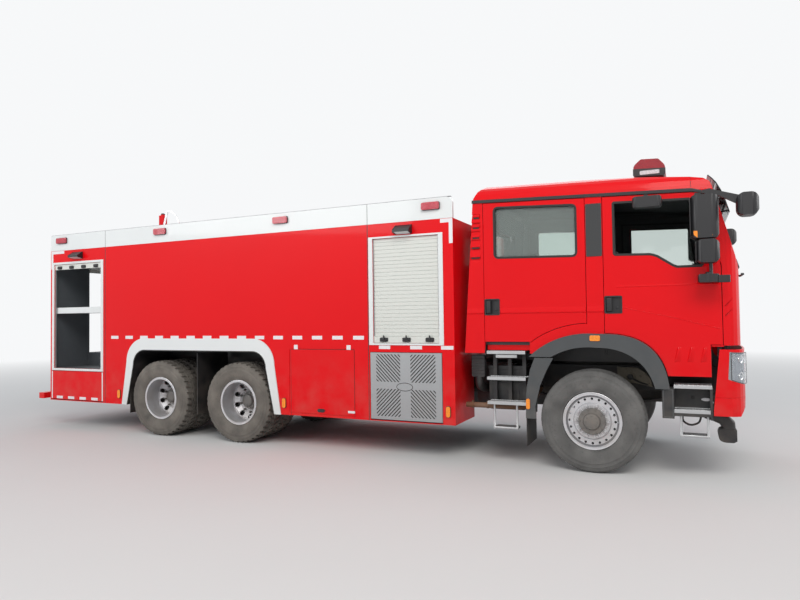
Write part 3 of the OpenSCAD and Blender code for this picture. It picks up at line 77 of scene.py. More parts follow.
class Look:
    """A Principled material with helpers for its procedural detail."""

    def __init__(self, name, colour, rough, metal=0.0, **sockets):
        self.mat = bpy.data.materials.new(name)
        self.mat.use_nodes = True
        self.tree = self.mat.node_tree
        self.shader = self.tree.nodes["Principled BSDF"]
        self.fed = {"Base Color": (*colour, 1), "Roughness": rough}
        self.normal = None
        for key, value in {**self.fed, "Metallic": metal, **sockets}.items():
            self.put(key.replace("_", " "), value)
        self.place = self.node("ShaderNodeTexCoord").outputs["Object"]

    def put(self, socket, value):
        self.shader.inputs[socket].default_value = value

    def node(self, kind, **inputs):
        made = self.tree.nodes.new(kind)
        for key, value in inputs.items():
            made.inputs[key].default_value = value
        return made

    def link(self, out, socket):
        self.tree.links.new(out, socket)

    def texture(self, kind, output, stretch, **inputs):
        move = self.node("ShaderNodeMapping", Scale=stretch)
        made = self.node(kind, **inputs)
        self.link(self.place, move.inputs["Vector"])
        self.link(move.outputs["Vector"], made.inputs["Vector"])
        return made.outputs[output]

    def noise(self, scale, detail=3.0, stretch=(1, 1, 1)):
        return self.texture("ShaderNodeTexNoise", "Fac", stretch, Scale=scale, Detail=detail)

    def cells(self, scale):
        return self.texture("ShaderNodeTexVoronoi", "Distance", (1, 1, 1), Scale=scale)

    def ramp(self, value, low, high, out_low=0.0, out_high=1.0):
        made = self.tree.nodes.new("ShaderNodeMapRange")
        for i, number in enumerate((low, high, out_low, out_high)):
            made.inputs[i + 1].default_value = number
        self.link(value, made.inputs[0])
        return made.outputs[0]

    def mixed(self, socket, value, amount, kind):
        """Mixes a value over what feeds a socket so far."""
        mix = self.tree.nodes.new("ShaderNodeMix")
        mix.data_type = kind
        if isinstance(self.fed[socket], bpy.types.NodeSocket):
            self.link(self.fed[socket], mix.inputs["A"])
        else:
            mix.inputs["A"].default_value = self.fed[socket]
        mix.inputs["B"].default_value = value
        self.link(amount, mix.inputs["Factor"])
        self.fed[socket] = mix.outputs["Result"]
        self.link(self.fed[socket], self.shader.inputs[socket])

    def tint(self, amount, colour):
        self.mixed("Base Color", (*colour, 1), amount, "RGBA")

    def roughen(self, amount, high):
        self.mixed("Roughness", high, amount, "FLOAT")

    def bump(self, height, distance):
        made = self.node("ShaderNodeBump", Distance=distance, Strength=1.0)
        self.link(height, made.inputs["Height"])
        if self.normal is not None:
            self.link(self.normal, made.inputs["Normal"])
        self.normal = made.outputs["Normal"]
        self.link(self.normal, self.shader.inputs["Normal"])

    def dust(self, top, amount):
        """Dust that thickens towards the ground, broken up by noise."""
        split = self.node("ShaderNodeSeparateXYZ")
        self.link(self.place, split.inputs["Vector"])
        both = self.tree.nodes.new("ShaderNodeMath")
        both.operation = "MULTIPLY"
        self.link(self.ramp(split.outputs["Z"], 0.2, top, 1.0, 0.0), both.inputs[0])
        self.link(self.ramp(self.noise(6.0, 5.0), 0.35, 0.7, 0.0, amount), both.inputs[1])
        self.tint(both.outputs[0], (0.30, 0.25, 0.20))
        self.roughen(both.outputs[0], 0.8)


def scaled(colour, share):
    return tuple(min(c * share, 1) for c in colour)


def gloss_paint(name, colour, coat=0.35, spec=0.3):
    look = Look(name, colour, 0.34, Coat_Weight=coat, Coat_Roughness=0.05, Specular_IOR_Level=spec)
    look.tint(look.ramp(look.noise(0.7, 2.0), 0.35, 0.75, 0.0, 0.12), scaled(colour, 0.72))
    look.dust(1.3, 0.20)
    look.bump(look.noise(1.4, 1.0), 0.006)
    look.bump(look.noise(420.0, 1.0), 0.00012)
    return look.mat


def matte(name, colour, rough=0.55, grain=900.0, depth=0.0002, dusty=0.25, metal=0.0, top=1.4):
    look = Look(name, colour, rough, metal)
    look.tint(look.ramp(look.noise(9.0, 4.0), 0.3, 0.7, 0.0, 0.25), scaled(colour, 0.7))
    look.dust(top, dusty)
    look.bump(look.noise(grain, 2.0), depth)
    return look.mat


def brushed(name, colour, rough=0.32, metal=0.9, stretch=(3, 90, 90), dusty=0.15):
    look = Look(name, colour, rough, metal)
    streaks = look.noise(14.0, 4.0, stretch)
    look.tint(look.ramp(streaks, 0.3, 0.7, 0.0, 0.25), scaled(colour, 0.72))
    look.roughen(look.ramp(look.noise(5.0), 0.3, 0.8), min(rough + 0.2, 1.0))
    look.dust(1.0, dusty)
    look.bump(streaks, 0.0004)
    return look.mat


def tyre_rubber(name, colour, dirt, amount):
    look = Look(name, colour, 0.72, Specular_IOR_Level=0.3)
    look.tint(look.ramp(look.noise(5.0, 5.0), 0.15, 0.85, 0.1, amount), dirt)
    look.tint(look.ramp(look.noise(40.0, 3.0), 0.55, 0.8, 0.0, 0.35), scaled(colour, 0.6))
    look.bump(look.noise(260.0, 3.0), 0.0006)
    return look.mat


def lens(name, colour, rough=0.12, glow=0.0):
    look = Look(name, colour, rough, Coat_Weight=0.5, Coat_Roughness=0.03)
    ribs = look.cells(70.0)
    look.tint(look.ramp(ribs, 0.1, 0.6, 0.0, 0.45), scaled(colour, 0.45))
    look.bump(ribs, 0.001)
    if glow:
        look.put("Emission Color", (*colour, 1))
        look.put("Emission Strength", glow)
    return look.mat


def window_glass(name, colour, see):
    look = Look(name, colour, 0.03, Transmission_Weight=see, IOR=1.45)
    look.roughen(look.ramp(look.noise(3.0, 4.0), 0.5, 0.8, 0.0, 0.6), 0.12)
    look.bump(look.noise(1.1, 1.0), 0.001)
    return look.mat


def clear_cover(name):
    look = Look(name, (0.97, 0.98, 1.0), 0.0, Transmission_Weight=0.97, IOR=1.06)
    look.bump(look.noise(30.0, 1.0), 0.0004)
    return look.mat


def cloth(name, colour):
    look = Look(name, colour, 0.9, Sheen_Weight=0.3)
    weave = look.cells(380.0)
    look.tint(look.ramp(weave, 0.1, 0.6, 0.0, 0.5), scaled(colour, 0.5))
    look.tint(look.ramp(look.noise(6.0, 3.0), 0.4, 0.8, 0.0, 0.3), scaled(colour, 1.6))
    look.bump(weave, 0.0012)
    return look.mat


M = {
    "red": gloss_paint("red_paint", (0.74, 0.002, 0.006), 0.22, 0.10),
    "white": gloss_paint("white_paint", (0.74, 0.77, 0.77)),
    "frame": matte("frame_paint", (0.018, 0.018, 0.020), 0.5, 300.0, 0.0004),
    "cast": matte("cast_iron", (0.05, 0.048, 0.045), 0.65, 160.0, 0.0012, 0.5),
    "black": matte("black_plastic", (0.014, 0.014, 0.016), 0.42),
    "grey": matte("grey_plastic", (0.060, 0.066, 0.070), 0.5),
    "step_black": matte("step_plastic", (0.022, 0.023, 0.025), 0.5),
    "rubber": matte("seal_rubber", (0.010, 0.010, 0.010), 0.6, 500.0, 0.0003, 0.15),
    "locker_grey": matte("locker_lining", (0.085, 0.095, 0.105), 0.5, 60.0, 0.0006, 0.1),
    "alu": brushed("tread_aluminium", (0.50, 0.51, 0.52), 0.38),
    "panel": brushed("panel_aluminium", (0.38, 0.39, 0.40), 0.42, 0.75, (90, 90, 3)),
    "chrome": brushed("polished_steel", (0.80, 0.80, 0.80), 0.12, 1.0, (20, 20, 20), 0.0),
    "rim": brushed("rim_silver", (0.60, 0.60, 0.62), 0.34, 0.7, (6, 6, 6), 0.5),
    # Dark silver for the ring of painted shade over each front rim's drop, where its shadow falls
    "painted_rim_shadow": brushed("rim_drop_shadow_paint", (0.20, 0.20, 0.21), 0.5, 0.6, (6, 6, 6), 0.3),
    "hub": matte("hub_grey", (0.16, 0.155, 0.15), 0.5, 120.0, 0.0008, 0.5, 0.4),
    "slat": gloss_paint("white_slat", (0.66, 0.68, 0.64), 0.2),
    "tyre_front": tyre_rubber("tyre_front", (0.045, 0.045, 0.045), (0.23, 0.225, 0.215), 0.75),
    "tyre_rear": tyre_rubber("tyre_rear", (0.045, 0.042, 0.039), (0.25, 0.225, 0.195), 0.85),
    "glass": window_glass("window_glass", (0.76, 0.85, 0.81), 0.88),
    "dark_glass": Look("dark_cover", (0.02, 0.021, 0.022), 0.06, Coat_Weight=0.6).mat,
    "smoked": window_glass("smoked_visor", (0.020, 0.022, 0.024), 0.25),
    "amber": lens("amber_lens", (0.95, 0.28, 0.01), 0.15, 0.15),
    "red_lens": lens("red_lens", (0.36, 0.006, 0.018)),
    "strobe": lens("strobe_lens", (0.62, 0.05, 0.08)),
    "clear": clear_cover("clear_lens"),
    "lamp": lens("lamp_reflector", (0.75, 0.78, 0.80), 0.15),
    "cloth": cloth("seat_cloth", (0.035, 0.036, 0.040)),
    "mark": gloss_paint("white_mark", (0.78, 0.76, 0.78), 0.15),
    "lining": matte("cab_lining", (0.045, 0.046, 0.050), 0.75, 240.0, 0.0008, 0.05),
    "headlamp": brushed("headlamp_shell", (0.34, 0.36, 0.38), 0.2, 0.85, (8, 8, 8), 0.0),
    "mirror": Look("mirror_glass", (0.85, 0.87, 0.88), 0.03, 1.0).mat,
    "rust": matte("rusty_pipe", (0.16, 0.075, 0.035), 0.7, 120.0, 0.0010, 0.4),
    "bracket": matte("dusty_bracket", (0.13, 0.112, 0.080), 0.6, 120.0, 0.0010, 0.3),
    "deck": brushed("deck_plate", (0.42, 0.43, 0.44), 0.5, 0.6, (6, 6, 6), 0.0),
}

# Material of each node, and the width of its rounded edges; a star stands for right and left
NODE_LOOK = {
    "frame": "chassis_rails front_axle rear_axles",
    "cast": "engine_block knuckle_*",
    "red": "bumpers tank_body front_locker rear_locker monitor_base monitor_swivel monitor_barrel cab_walls "
           "cab_roof cab_front door_front_* door_rear_* step_flap_rear_*",
    "lamp": "lamps",
    "alu": "side_steps roof_hatches",
    "panel": "step_flap_front_*",
    "black": "mudguards dashboard mirrors_*",
    "grey": "cab_fenders cab_floor pump_unit",
    "white": "parapets side_trims locker_shelves",
    "slat": "shutters",
    "glass": "windscreen glass_front_left glass_rear_*",
    "smoked": "sun_visor",
    "red_lens": "light_bar",
    "cloth": "seats",
    "rim": "rim_front_* rims_middle_* rims_rear_*",
    "tyre_front": "tyre_front_*",
    "tyre_rear": "tyres_middle_* tyres_rear_*",
}
EDGE_WIDTHS = {
    0.002: "side_trims monitor_base monitor_swivel monitor_barrel light_bar chassis_rails locker_shelves "
           "roof_hatches",
    0.003: "mudguards parapets cab_front cab_roof step_flap_rear_* mirrors_* pump_unit",
    0.004: "bumpers cab_fenders engine_block",
}


def each_name(names):
    for name in names.split():
        for side in (SIDES if "*" in name else [""]):
            yield name.replace("*", side)


def bevel(obj, width, angle):
    edge = obj.modifiers.new("edge", "BEVEL")
    edge.width, edge.segments = width, 2
    edge.limit_method, edge.angle_limit = "ANGLE", angle


def soften(obj, width):
    """Welds, flattens and rounds a solid's edges by modifiers, with its own vertices kept."""
    weld = obj.modifiers.new("weld", "WELD")
    weld.merge_threshold = 0.00005
    flat = obj.modifiers.new("flat", "DECIMATE")
    flat.decimate_type = "DISSOLVE"
    flat.delimit = {"MATERIAL"}
    flat.angle_limit = 0.02
    if width:
        bevel(obj, width, 0.45)


def repaint(name, look, test):
    """Gives another material to the faces of a node whose middle passes the test of x, y, z and normal."""
    data = nodes[name].data
    index = len(data.materials)
    data.materials.append(M[look])
    for face in data.polygons:
        c = face.center
        if test(c.x - AXLE, c.y, c.z, face.normal):
            face.material_index = index


for look, names in NODE_LOOK.items():
    for name in each_name(names):
        nodes[name].data.materials.clear()
        nodes[name].data.materials.append(M[look])


# Spans and outlines

def about(middle, half):
    """A span on both sides of a middle."""
    return middle - half, middle + half


def on_side(s, low, high):
    """A span of distances from the middle plane, on the left or, where s is -1, on the right."""
    return min(s * low, s * high), max(s * low, s * high)


def cab_skin(low, high, s=1):
    """A span across the skin of the cab's side, from distances inside and outside it."""
    return on_side(s, HALF_CAB + low, HALF_CAB + high)


def body_skin(low, high, s=1):
    return on_side(s, SKIN + low, SKIN + high)


def corners(u, v):
    """The rectangle of two spans."""
    return [(u[0], v[0]), (u[1], v[0]), (u[1], v[1]), (u[0], v[1])]


def oval(u, v, half_u, half_v, count):
    return [(u + half_u * math.cos(a), v + half_v * math.sin(a))
            for a in (2 * math.pi * i / count for i in range(count))]


def spread(direction):
    """A direction and two more, square to it."""
    d = Vector(direction).normalized()
    side = Vector((0, 0, 1)) if abs(d.z) < 0.9 else Vector((1, 0, 0))
    u = d.cross(side).normalized()
    return d, u, d.cross(u)


def circle(centre, direction, radius, along=0.0, count=24, start=0.0):
    d, u, v = spread(direction)
    base = Vector(centre) + d * along
    return [base + (u * math.cos(a) + v * math.sin(a)) * radius
            for a in (start + 2 * math.pi * i / count for i in range(count))]


def rounded(points, radius, steps=5):
    """Points of an outline with each corner made an arc of a parabola."""
    out = []
    for i, p in enumerate(points):
        p = Vector(p)
        before, after = Vector(points[i - 1]), Vector(points[(i + 1) % len(points)])
        r = min(radius, (before - p).length * 0.49, (after - p).length * 0.49)
        a, b = p + (before - p).normalized() * r, p + (after - p).normalized() * r
        for k in range(steps + 1):
            t = k / steps
            out.append(a * (1 - t) ** 2 + p * (2 * t * (1 - t)) + b * t ** 2)
    return out


def route(points, radius, steps=5):
    """An open path with its inner corners bent."""
    bent = rounded(points, radius, steps)
    return [Vector(points[0])] + bent[steps + 1:-steps - 1] + [Vector(points[-1])]


def inset(points, gap):
    """A closed outline drawn in by a gap; points run either way round."""
    pts = [Vector(p) for p in points]
    area = sum(a.x * b.y - b.x * a.y for a, b in zip(pts, pts[1:] + pts[:1]))
    turn = 1 if area > 0 else -1
    out = []
    for i, p in enumerate(pts):
        e1 = (p - pts[i - 1]).normalized()
        e2 = (pts[(i + 1) % len(pts)] - p).normalized()
        n1, n2 = Vector((-e1.y, e1.x)) * turn, Vector((-e2.y, e2.x)) * turn
        mid = (n1 + n2).normalized()
        out.append(p + mid * (gap / max(mid.dot(n1), 0.35)))
    return out


def clipped(points, lean, limit, keep):
    """The part of a convex outline where x + lean * z, times keep, is above the limit times keep."""
    out = []
    for a, b in zip(points, points[1:] + points[:1]):
        fa, fb = ((p[0] + lean * p[1] - limit) * keep for p in (a, b))
        if fa >= 0:
            out.append(a)
        if fa * fb < 0:
            t = fa / (fa - fb)
            out.append((a[0] + (b[0] - a[0]) * t, a[1] + (b[1] - a[1]) * t))
    return out


def raised(point, axis, distance):
    """A point of the other two axes, at a distance along one."""
    out = list(point)
    out.insert(axis, distance)
    return out


class Form:
    """Closed shapes gathered into one piece. Each method adds a shape and returns the form."""

    def __init__(self):
        self.verts, self.faces = [], []

    def add(self, verts, faces):
        start = len(self.verts)
        self.verts += [Vector(v) for v in verts]
        self.faces += [[i + start for i in f] for f in faces]
        return self

    def loft(self, rings, ring=False):
        """Rings of one count joined in turn and capped, or joined into a ring."""
        count = len(rings[0])
        faces = []
        for r in range(len(rings) if ring else len(rings) - 1):
            s = (r + 1) % len(rings)
            for i in range(count):
                j = (i + 1) % count
                faces.append([r * count + i, r * count + j, s * count + j, s * count + i])
        if not ring:
            last = (len(rings) - 1) * count
            faces += [list(range(count))[::-1], [last + i for i in range(count)]]
        return self.add([p for points in rings for p in points], faces)

    def prism(self, axis, outline, low, high):
        """An outline in the other two axes, carried from low to high."""
        return self.loft([[raised(p, axis, d) for p in outline] for d in (low, high)])

    def band(self, axis, outline, width, low, high):
        """A frame of a width inside a closed outline."""
        count = len(outline)
        verts = [raised(p, axis, d) for d in (low, high) for points in (outline, inset(outline, width))
                 for p in points]
        faces = []
        for i in range(count):
            j = (i + 1) % count
            a, b, c, d = 0, count, 2 * count, 3 * count
            faces += [[a + i, a + j, b + j, b + i], [c + i, d + i, d + j, c + j],
                      [a + i, c + i, c + j, a + j], [b + i, b + j, d + j, d + i]]
        return self.add(verts, faces)

    def box(self, x, y, z):
        return self.prism(2, corners(x, y), *z)

    def pad(self, axis, u, v, d, radius, steps=4):
        """A plate with round corners, square to an axis."""
        return self.prism(axis, rounded(corners(u, v), radius, steps), *d)

    def border(self, axis, u, v, d, radius, width, steps=5):
        """A frame with round corners, square to an axis."""
        return self.band(axis, rounded(corners(u, v), radius, steps), width, *d)

    def turned(self, centre, direction, profile, count=24):
        """A solid turned about a direction: radius and distance pairs, from one end to the other."""
        return self.loft([circle(centre, direction, max(r, 0.0004), d, count) for r, d in profile])

    def hoop(self, centre, direction, profile, count=48):
        """A ring turned about a direction, from its closed profile of radius and distance."""
        return self.loft(list(zip(*[circle(centre, direction, r, d, count) for r, d in profile])), True)

    def tube(self, path, radius, count=12):
        path = [Vector(p) for p in path]
        u = spread((path[1] - path[0]).normalized())[1]
        rings = []
        for i, p in enumerate(path):
            d = (path[min(i + 1, len(path) - 1)] - path[max(i - 1, 0)]).normalized()
            u = (u - d * u.dot(d)).normalized()
            v = d.cross(u)
            rings.append([p + (u * math.cos(t) + v * math.sin(t)) * radius
                          for t in (2 * math.pi * k / count for k in range(count))])
        return self.loft(rings)

    def nuts(self, centre, direction, ring, count, size, height, start=0.0):
        """Hexagon nuts with their studs on a circle."""
        for place in circle(centre, direction, ring, 0.0, count, start):
            self.turned(place, direction, [(size, 0), (size, height * 0.85), (size * 0.86, height)], 6)
            self.turned(place, direction, [(size * 0.5, height * 0.5), (size * 0.5, height * 1.45),
                                           (size * 0.36, height * 1.55)], 10)
        return self

    def both(self):
        """The same shapes on the other side too."""
        return self.add([(v.x, -v.y, v.z) for v in self.verts], [f[::-1] for f in self.faces])

    def done(self, name, look, body="chassis", edge=0.0, sharp=0.6):
        data = bpy.data.meshes.new(name)
        data.from_pydata([(v.x + AXLE, v.y, v.z) for v in self.verts], [], self.faces)
        work = bmesh.new()
        work.from_mesh(data)
        bmesh.ops.recalc_face_normals(work, faces=work.faces)
        work.to_mesh(data)
        work.free()
        data.polygons.foreach_set("use_smooth", [True] * len(data.polygons))
        data.set_sharp_from_angle(angle=sharp)
        data.materials.append(M[look])
        obj = bpy.data.objects.new(name, data)
        bpy.context.scene.collection.objects.link(obj)
        if edge:
            bevel(obj, edge, 0.5)
        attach(obj, body)
        return obj


# Wheels

# A front wheel and a pair of twin wheels from the middle plane, and a twin tyre from its pair's middle
FRONT_PLANE, TWIN_PLANE, TWIN_OFFSET = 1.011, 0.915, 0.175
BOLT_CIRCLE = 0.1655
# Profiles as radius and distance from the wheel's middle
RIM_LIP = [(0.281, 0.105), (0.292, 0.121), (0.299, 0.122), (0.3005, 0.127), (0.296, 0.129), (0.288, 0.127),
           (0.277, 0.112), (0.274, 0.108)]
# Flat ring of painted shade, laid over the rim's drop between the lip and the disc
RIM_SHADOW_RING = [(0.249, 0.1085), (0.249, 0.1110), (0.2730, 0.1110), (0.2730, 0.1085)]
SIDEWALL = [(0.289, 0.111), (0.300, 0.1125), (0.305, 0.127), (0.313, 0.135), (0.321, 0.1355),
            (0.331, 0.143), (0.362, 0.1525), (0.396, 0.1562), (0.428, 0.1560), (0.433, 0.1568),
            (0.439, 0.1568), (0.444, 0.1540), (0.470, 0.1505), (0.474, 0.1515), (0.480, 0.1510),
            (0.484, 0.1480), (0.502, 0.1440), (0.517, 0.1380)]
# Half a tread from its shoulder to the middle: radius, offset and share of the cross groove's depth
RIB_TREAD = [(0.526, 0.131, 0.5), (0.531, 0.122, 1.0), (0.5335, 0.104, 0.0), (0.5340, 0.086, 0.0),
             (0.5210, 0.083, 0.0), (0.5210, 0.071, 0.0), (0.5350, 0.068, 0.0), (0.5362, 0.036, 0.0),
             (0.5222, 0.033, 0.0), (0.5222, 0.021, 0.0), (0.5366, 0.018, 0.0)]
LUG_TREAD = [(0.512, 0.1400, 1.0), (0.527, 0.1325, 1.0), (0.5315, 0.1250, 1.0), (0.5345, 0.0900, 1.0),
             (0.5355, 0.0520, 1.0), (0.5360, 0.0500, 0.0), (0.5200, 0.0480, 0.0), (0.5200, 0.0400, 0.0),
             (0.5362, 0.0380, 0.6), (0.5366, 0.0120, 0.6), (0.5366, 0.0100, 0.0)]
# Steps of one pitch, as place and cut: where a cross groove starts, reaches its depth and ends
RIB_STEPS = [(0.0, 0), (0.08, 1), (0.30, 1), (0.38, 0)]
LUG_STEPS = [(0.0, 0), (0.05, 1), (0.36, 1), (0.41, 0), (0.70, 0)]
FRONT_TREAD = (RIB_TREAD, 60, RIB_STEPS, 0.008, 0.0, "tyre_front")
REAR_TREAD = (LUG_TREAD, 40, LUG_STEPS, 0.017, 0.35, "tyre_rear")


def tyres(name, node, body, x, planes, tread, pitches, steps, depth, slant, look):
    """The tyres at one end of an axle, their cross grooves made by drawing rings of points in."""
    form = Form()
    half = [(r, o, 0.0) for r, o in SIDEWALL] + tread
    profile = half + [(r, -o, share) for r, o, share in reversed(half)]
    for y in planes:
        rings = []
        for pitch in range(pitches):
            for part, cut in steps:
                ring = []
                for r, o, share in profile:
                    shift = slant * abs(o) / 0.13 + (0.5 if o < 0 else 0.0)
                    a = 2 * math.pi * (pitch + part + shift) / pitches
                    deep = r - depth * cut * share
                    ring.append((x + deep * math.cos(a), y + o, WHEEL_Z + deep * math.sin(a)))
                rings.append(ring)
        form.loft(rings, True)
    obj = form.done(name, look, body, sharp=0.45)
    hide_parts(node)


def front_wheel(side, s):
    """Tyre, bolted hub flange, a dark ring of painted shade over the rim's drop, and rim lip with the wheel
    nuts and the valve.
    """
    body, out = f"front_wheel_{side}", (0, s, 0)

    def at(reach, x=0):
        return x, s * FRONT_PLANE + s * reach, WHEEL_Z
    tyres(f"front_tyre_tread_{side}", f"tyre_front_{side}", body, 0.0, [s * FRONT_PLANE], *FRONT_TREAD)
    flange = Form().nuts(at(0.1475), out, 0.121, 10, 0.0080, 0.008)
    flange.turned(at(0), out, [(0.137, 0.1245), (0.137, 0.1430), (0.1335, 0.1475), (0.090, 0.1480)], 48)
    flange.nuts(at(0.1745), out, 0.060, 8, 0.0075, 0.007)
    flange.turned(at(0), out, [(0.078, 0.170), (0.078, 0.1755), (0.070, 0.1775), (0.030, 0.1785)], 32)
    flange.done(f"front_hub_flange_{side}", "hub", body, sharp=0.5)
    # Painted shade: a dark flat ring where the rim's drop lies in shadow
    shadow_ring = Form().hoop(at(0), out, RIM_SHADOW_RING, 64)
    shadow_ring.done(f"front_rim_shadow_ring_{side}", "painted_rim_shadow", body, sharp=0.5)
    lip = Form().nuts(at(0.1245), out, BOLT_CIRCLE, 10, 0.0160, 0.024).hoop(at(0), out, RIM_LIP, 64)
    lip.tube([at(0.109, 0.255), at(0.132, 0.255), at(0.141, 0.262)], 0.005, 8)
    lip.done(f"front_rim_lip_{side}", "rim", body, sharp=0.5)


def twin_wheels(side, s, name, x):
    """Two tyres, wheel nuts with the hub's cap, and rim lips with the valve, at one end of a rear axle."""
    body, out, mid = f"{name}_wheels_{side}", (0, s, 0), s * TWIN_PLANE
    planes = about(mid, TWIN_OFFSET)

    def at(reach, ahead=0.0, up=0.0):
        return x + ahead, mid + s * reach, WHEEL_Z + up
    tyres(f"{name}_tyre_treads_{side}", f"tyres_{name}_{side}", body, x, planes, *REAR_TREAD)
    hub = Form().nuts(at(0.0265), out, BOLT_CIRCLE, 10, 0.0165, 0.026, 0.3)
    hub.nuts(at(0.0785), out, 0.098, 10, 0.0075, 0.008)
    hub.turned(at(0), out, [(0.070, 0.098), (0.070, 0.106), (0.062, 0.109), (0.028, 0.110)], 32)
    hub.nuts(at(0.1055), out, 0.054, 8, 0.0065, 0.006)
    hub.done(f"{name}_wheel_nuts_{side}", "hub", body, sharp=0.5)
    lips = Form()
    for plane in planes:
        for way in (-1, 1):
            lips.hoop((x, plane, WHEEL_Z), (0, way, 0), RIM_LIP, 64)
    lips.tube([at(0.060, 0.2, 0.1), at(0.19, 0.222, 0.111), at(0.24, 0.240, 0.120)], 0.005, 8)
    lips.done(f"{name}_rim_lips_{side}", "rim", body, sharp=0.5)


def wheels():
    for side, s in SIDES.items():
        front_wheel(side, s)
        twin_wheels(side, s, "middle", MIDDLE_X)
        twin_wheels(side, s, "rear", REAR_X)


# Cab, with outlines as x and z pairs

FRONT_WINDOW = [(0.251, 2.278), (0.251, 2.800), (0.263, 2.814), (0.968, 2.790), (0.984, 2.776),
                (1.080, 2.128), (1.066, 2.112), (0.850, 2.112), (0.812, 2.128), (0.670, 2.226),
                (0.630, 2.243), (0.600, 2.250), (0.268, 2.262)]
REAR_WINDOW = rounded([(-1.020, 2.298), (-1.020, 2.872), (-0.118, 2.828), (-0.118, 2.272)], 0.056, 7)
HANDLE_X = {"front": 0.150, "rear": -1.140}
# Side outline of the black roof gutter, about 36 mm deep: the gutter itself and, as painted shade, the shadow
# under it
GUTTER_AND_SHADE = [(-1.270, 2.935), (0.983, 2.853), (1.100, 2.833), (1.108, 2.852), (0.992, 2.887), (-1.268, 2.970)]
SCREEN_FOOT, SCREEN_TOP = (1.400, 2.080), (1.175, 2.900)
LIGHT_BAR_END = [(0.434, 3.150), (0.452, 3.142), (0.738, 3.124), (0.757, 3.150), (0.758, 3.206),
                 (0.434, 3.222)]
REPEATER = [(0.998, 2.426), (1.062, 2.420), (1.162, 2.384), (1.158, 2.366), (1.100, 2.3595), (1.032, 2.3595),
            (1.002, 2.386)]
WHEELHOUSE = [(-1.300, 1.150), (-0.640, 1.120), (0.600, 1.120), (0.620, 1.100), (0.690, 1.100),
              (0.690, 1.3275), (-1.300, 1.3275)]


def doors():
    """Window seal and recessed handle of each door."""
    for side, s in SIDES.items():
        for place, outline in (("front", FRONT_WINDOW), ("rear", REAR_WINDOW)):
            body, x = f"{place}_door_{side}", HANDLE_X[place]
            seal = Form().band(1, inset(outline, -0.007), 0.024, *cab_skin(-0.044, 0.003, s))
            seal.done(f"{place}_window_seal_{side}", "rubber", body, 0.002)
            cup_x, cup_z = (x + 0.010, x + 0.168), (1.668, 1.836)
            form = Form()
            rim_x, rim_z = (x + 0.002, x + 0.176), (1.660, 1.844)
            form.border(1, rim_x, rim_z, cab_skin(-0.025, 0.005, s), 0.016, 0.013, 4)
            form.box(cup_x, cab_skin(-0.0258, -0.0225, s), cup_z)
            form.pad(0, cab_skin(-0.006, 0.019, s), (1.682, 1.824), (x + 0.026, x + 0.074), 0.008)
            form.turned((x + 0.125, s * (HALF_CAB - 0.023), 1.72), (0, s, 0),
                        [(0.013, 0), (0.013, 0.008), (0.010, 0.010)], 20)
            form.done(f"{place}_door_handle_{side}", "black", body, 0.002)

            def in_cup(px, y, z, n, cup_x=cup_x, cup_z=cup_z):
                return (cup_x[0] < px < cup_x[1] and cup_z[0] < z < cup_z[1]
                        and abs(abs(y) - HALF_CAB) > 0.0006)
            repaint(f"door_{place}_{side}", "black", in_cup)


def cab_covers():
    """Roof gutters, drawn deep to take in the painted shadow under them, dark covers of the pillars between
    the doors, and the seal of the rear pane.
    """
    Form().prism(1, GUTTER_AND_SHADE, *cab_skin(-0.004, 0.012)).both().done("roof_gutters_and_shade", "black", "cab", 0.002)
    cover = Form().pad(1, (-0.022, 0.139), (2.262, 2.818), cab_skin(-0.002, 0.006), 0.012)
    cover.both().done("pillar_covers", "dark_glass", "cab", 0.002)
    seal = Form().border(0, (-0.628, 0.628), (2.142, 2.758), (-1.386, -1.284), 0.04, 0.024)
    seal.done("rear_pane_seal", "rubber", "cab", 0.002)


def wipers():
    """Arms and blades parked low on the windscreen."""
    form = Form()
    slope = (SCREEN_TOP[0] - SCREEN_FOOT[0]) / (SCREEN_TOP[1] - SCREEN_FOOT[1])
    foot, tip, lift = 2.115, 2.185, 0.030

    def on_screen(y, z, out):
        bow = 0.022 * min(abs(y), 1.0) ** 2
        return SCREEN_FOOT[0] + (z - SCREEN_FOOT[1]) * slope - bow + out, y, z
    for y0, y1 in ((0.86, 0.14), (0.10, -0.62), (-0.66, -0.98)):
        mid_y = y0 + (y1 - y0) * 0.55
        form.tube(route([on_screen(y0, foot - 0.02, 0.012), on_screen(y0, foot, lift + 0.012),
                         on_screen(mid_y, tip, lift)], 0.02), 0.008, 8)
        blade = [on_screen(y0 + (y1 - y0) * t, foot + 0.02 + 0.08 * t, 0.014) for t in (0.12, 0.4, 0.7, 1.0)]
        form.tube(blade, 0.007, 8)
        form.turned(on_screen(y0, foot - 0.025, 0.0), (1, 0, 0),
                    [(0.022, 0), (0.022, 0.022), (0.014, 0.030)], 16)
    form.done("wipers", "black", "cab")


def grab_handles():
    form = Form()
    for s in (-1, 1):
        bar = [(-0.010, 0.90), (0.012, 0.90), (0.012, 0.56), (-0.020, 0.56)]
        form.tube(route([(NOSE + ahead, s * y, 2.035) for ahead, y in bar], 0.02), 0.011, 10)
    form.done("front_grab_handles", "black", "cab")


def roof_joint():
    """A dark joint line across the roof, laid on its surface by rays cast at it."""
    roof = nodes["cab_roof"].data
    tree = BVHTree.FromPolygons([v.co for v in roof.vertices], [tuple(f.vertices) for f in roof.polygons])
    x, rays, lowest = 0.990, 61, 2.90
    heart = Vector((x + AXLE, 0, 2.55))
    path = []
    for i in range(rays):
        a = math.radians(17 + 146 * i / (rays - 1))
        way = Vector((0, math.cos(a), math.sin(a)))
        hit = tree.ray_cast(heart + way * 2.0, -way)[0]
        if hit and hit.z > lowest:
            path.append((x, hit.y, hit.z))
    Form().tube(path, 0.0028, 6).done("roof_joint_line", "rubber", "cab", sharp=0.9)


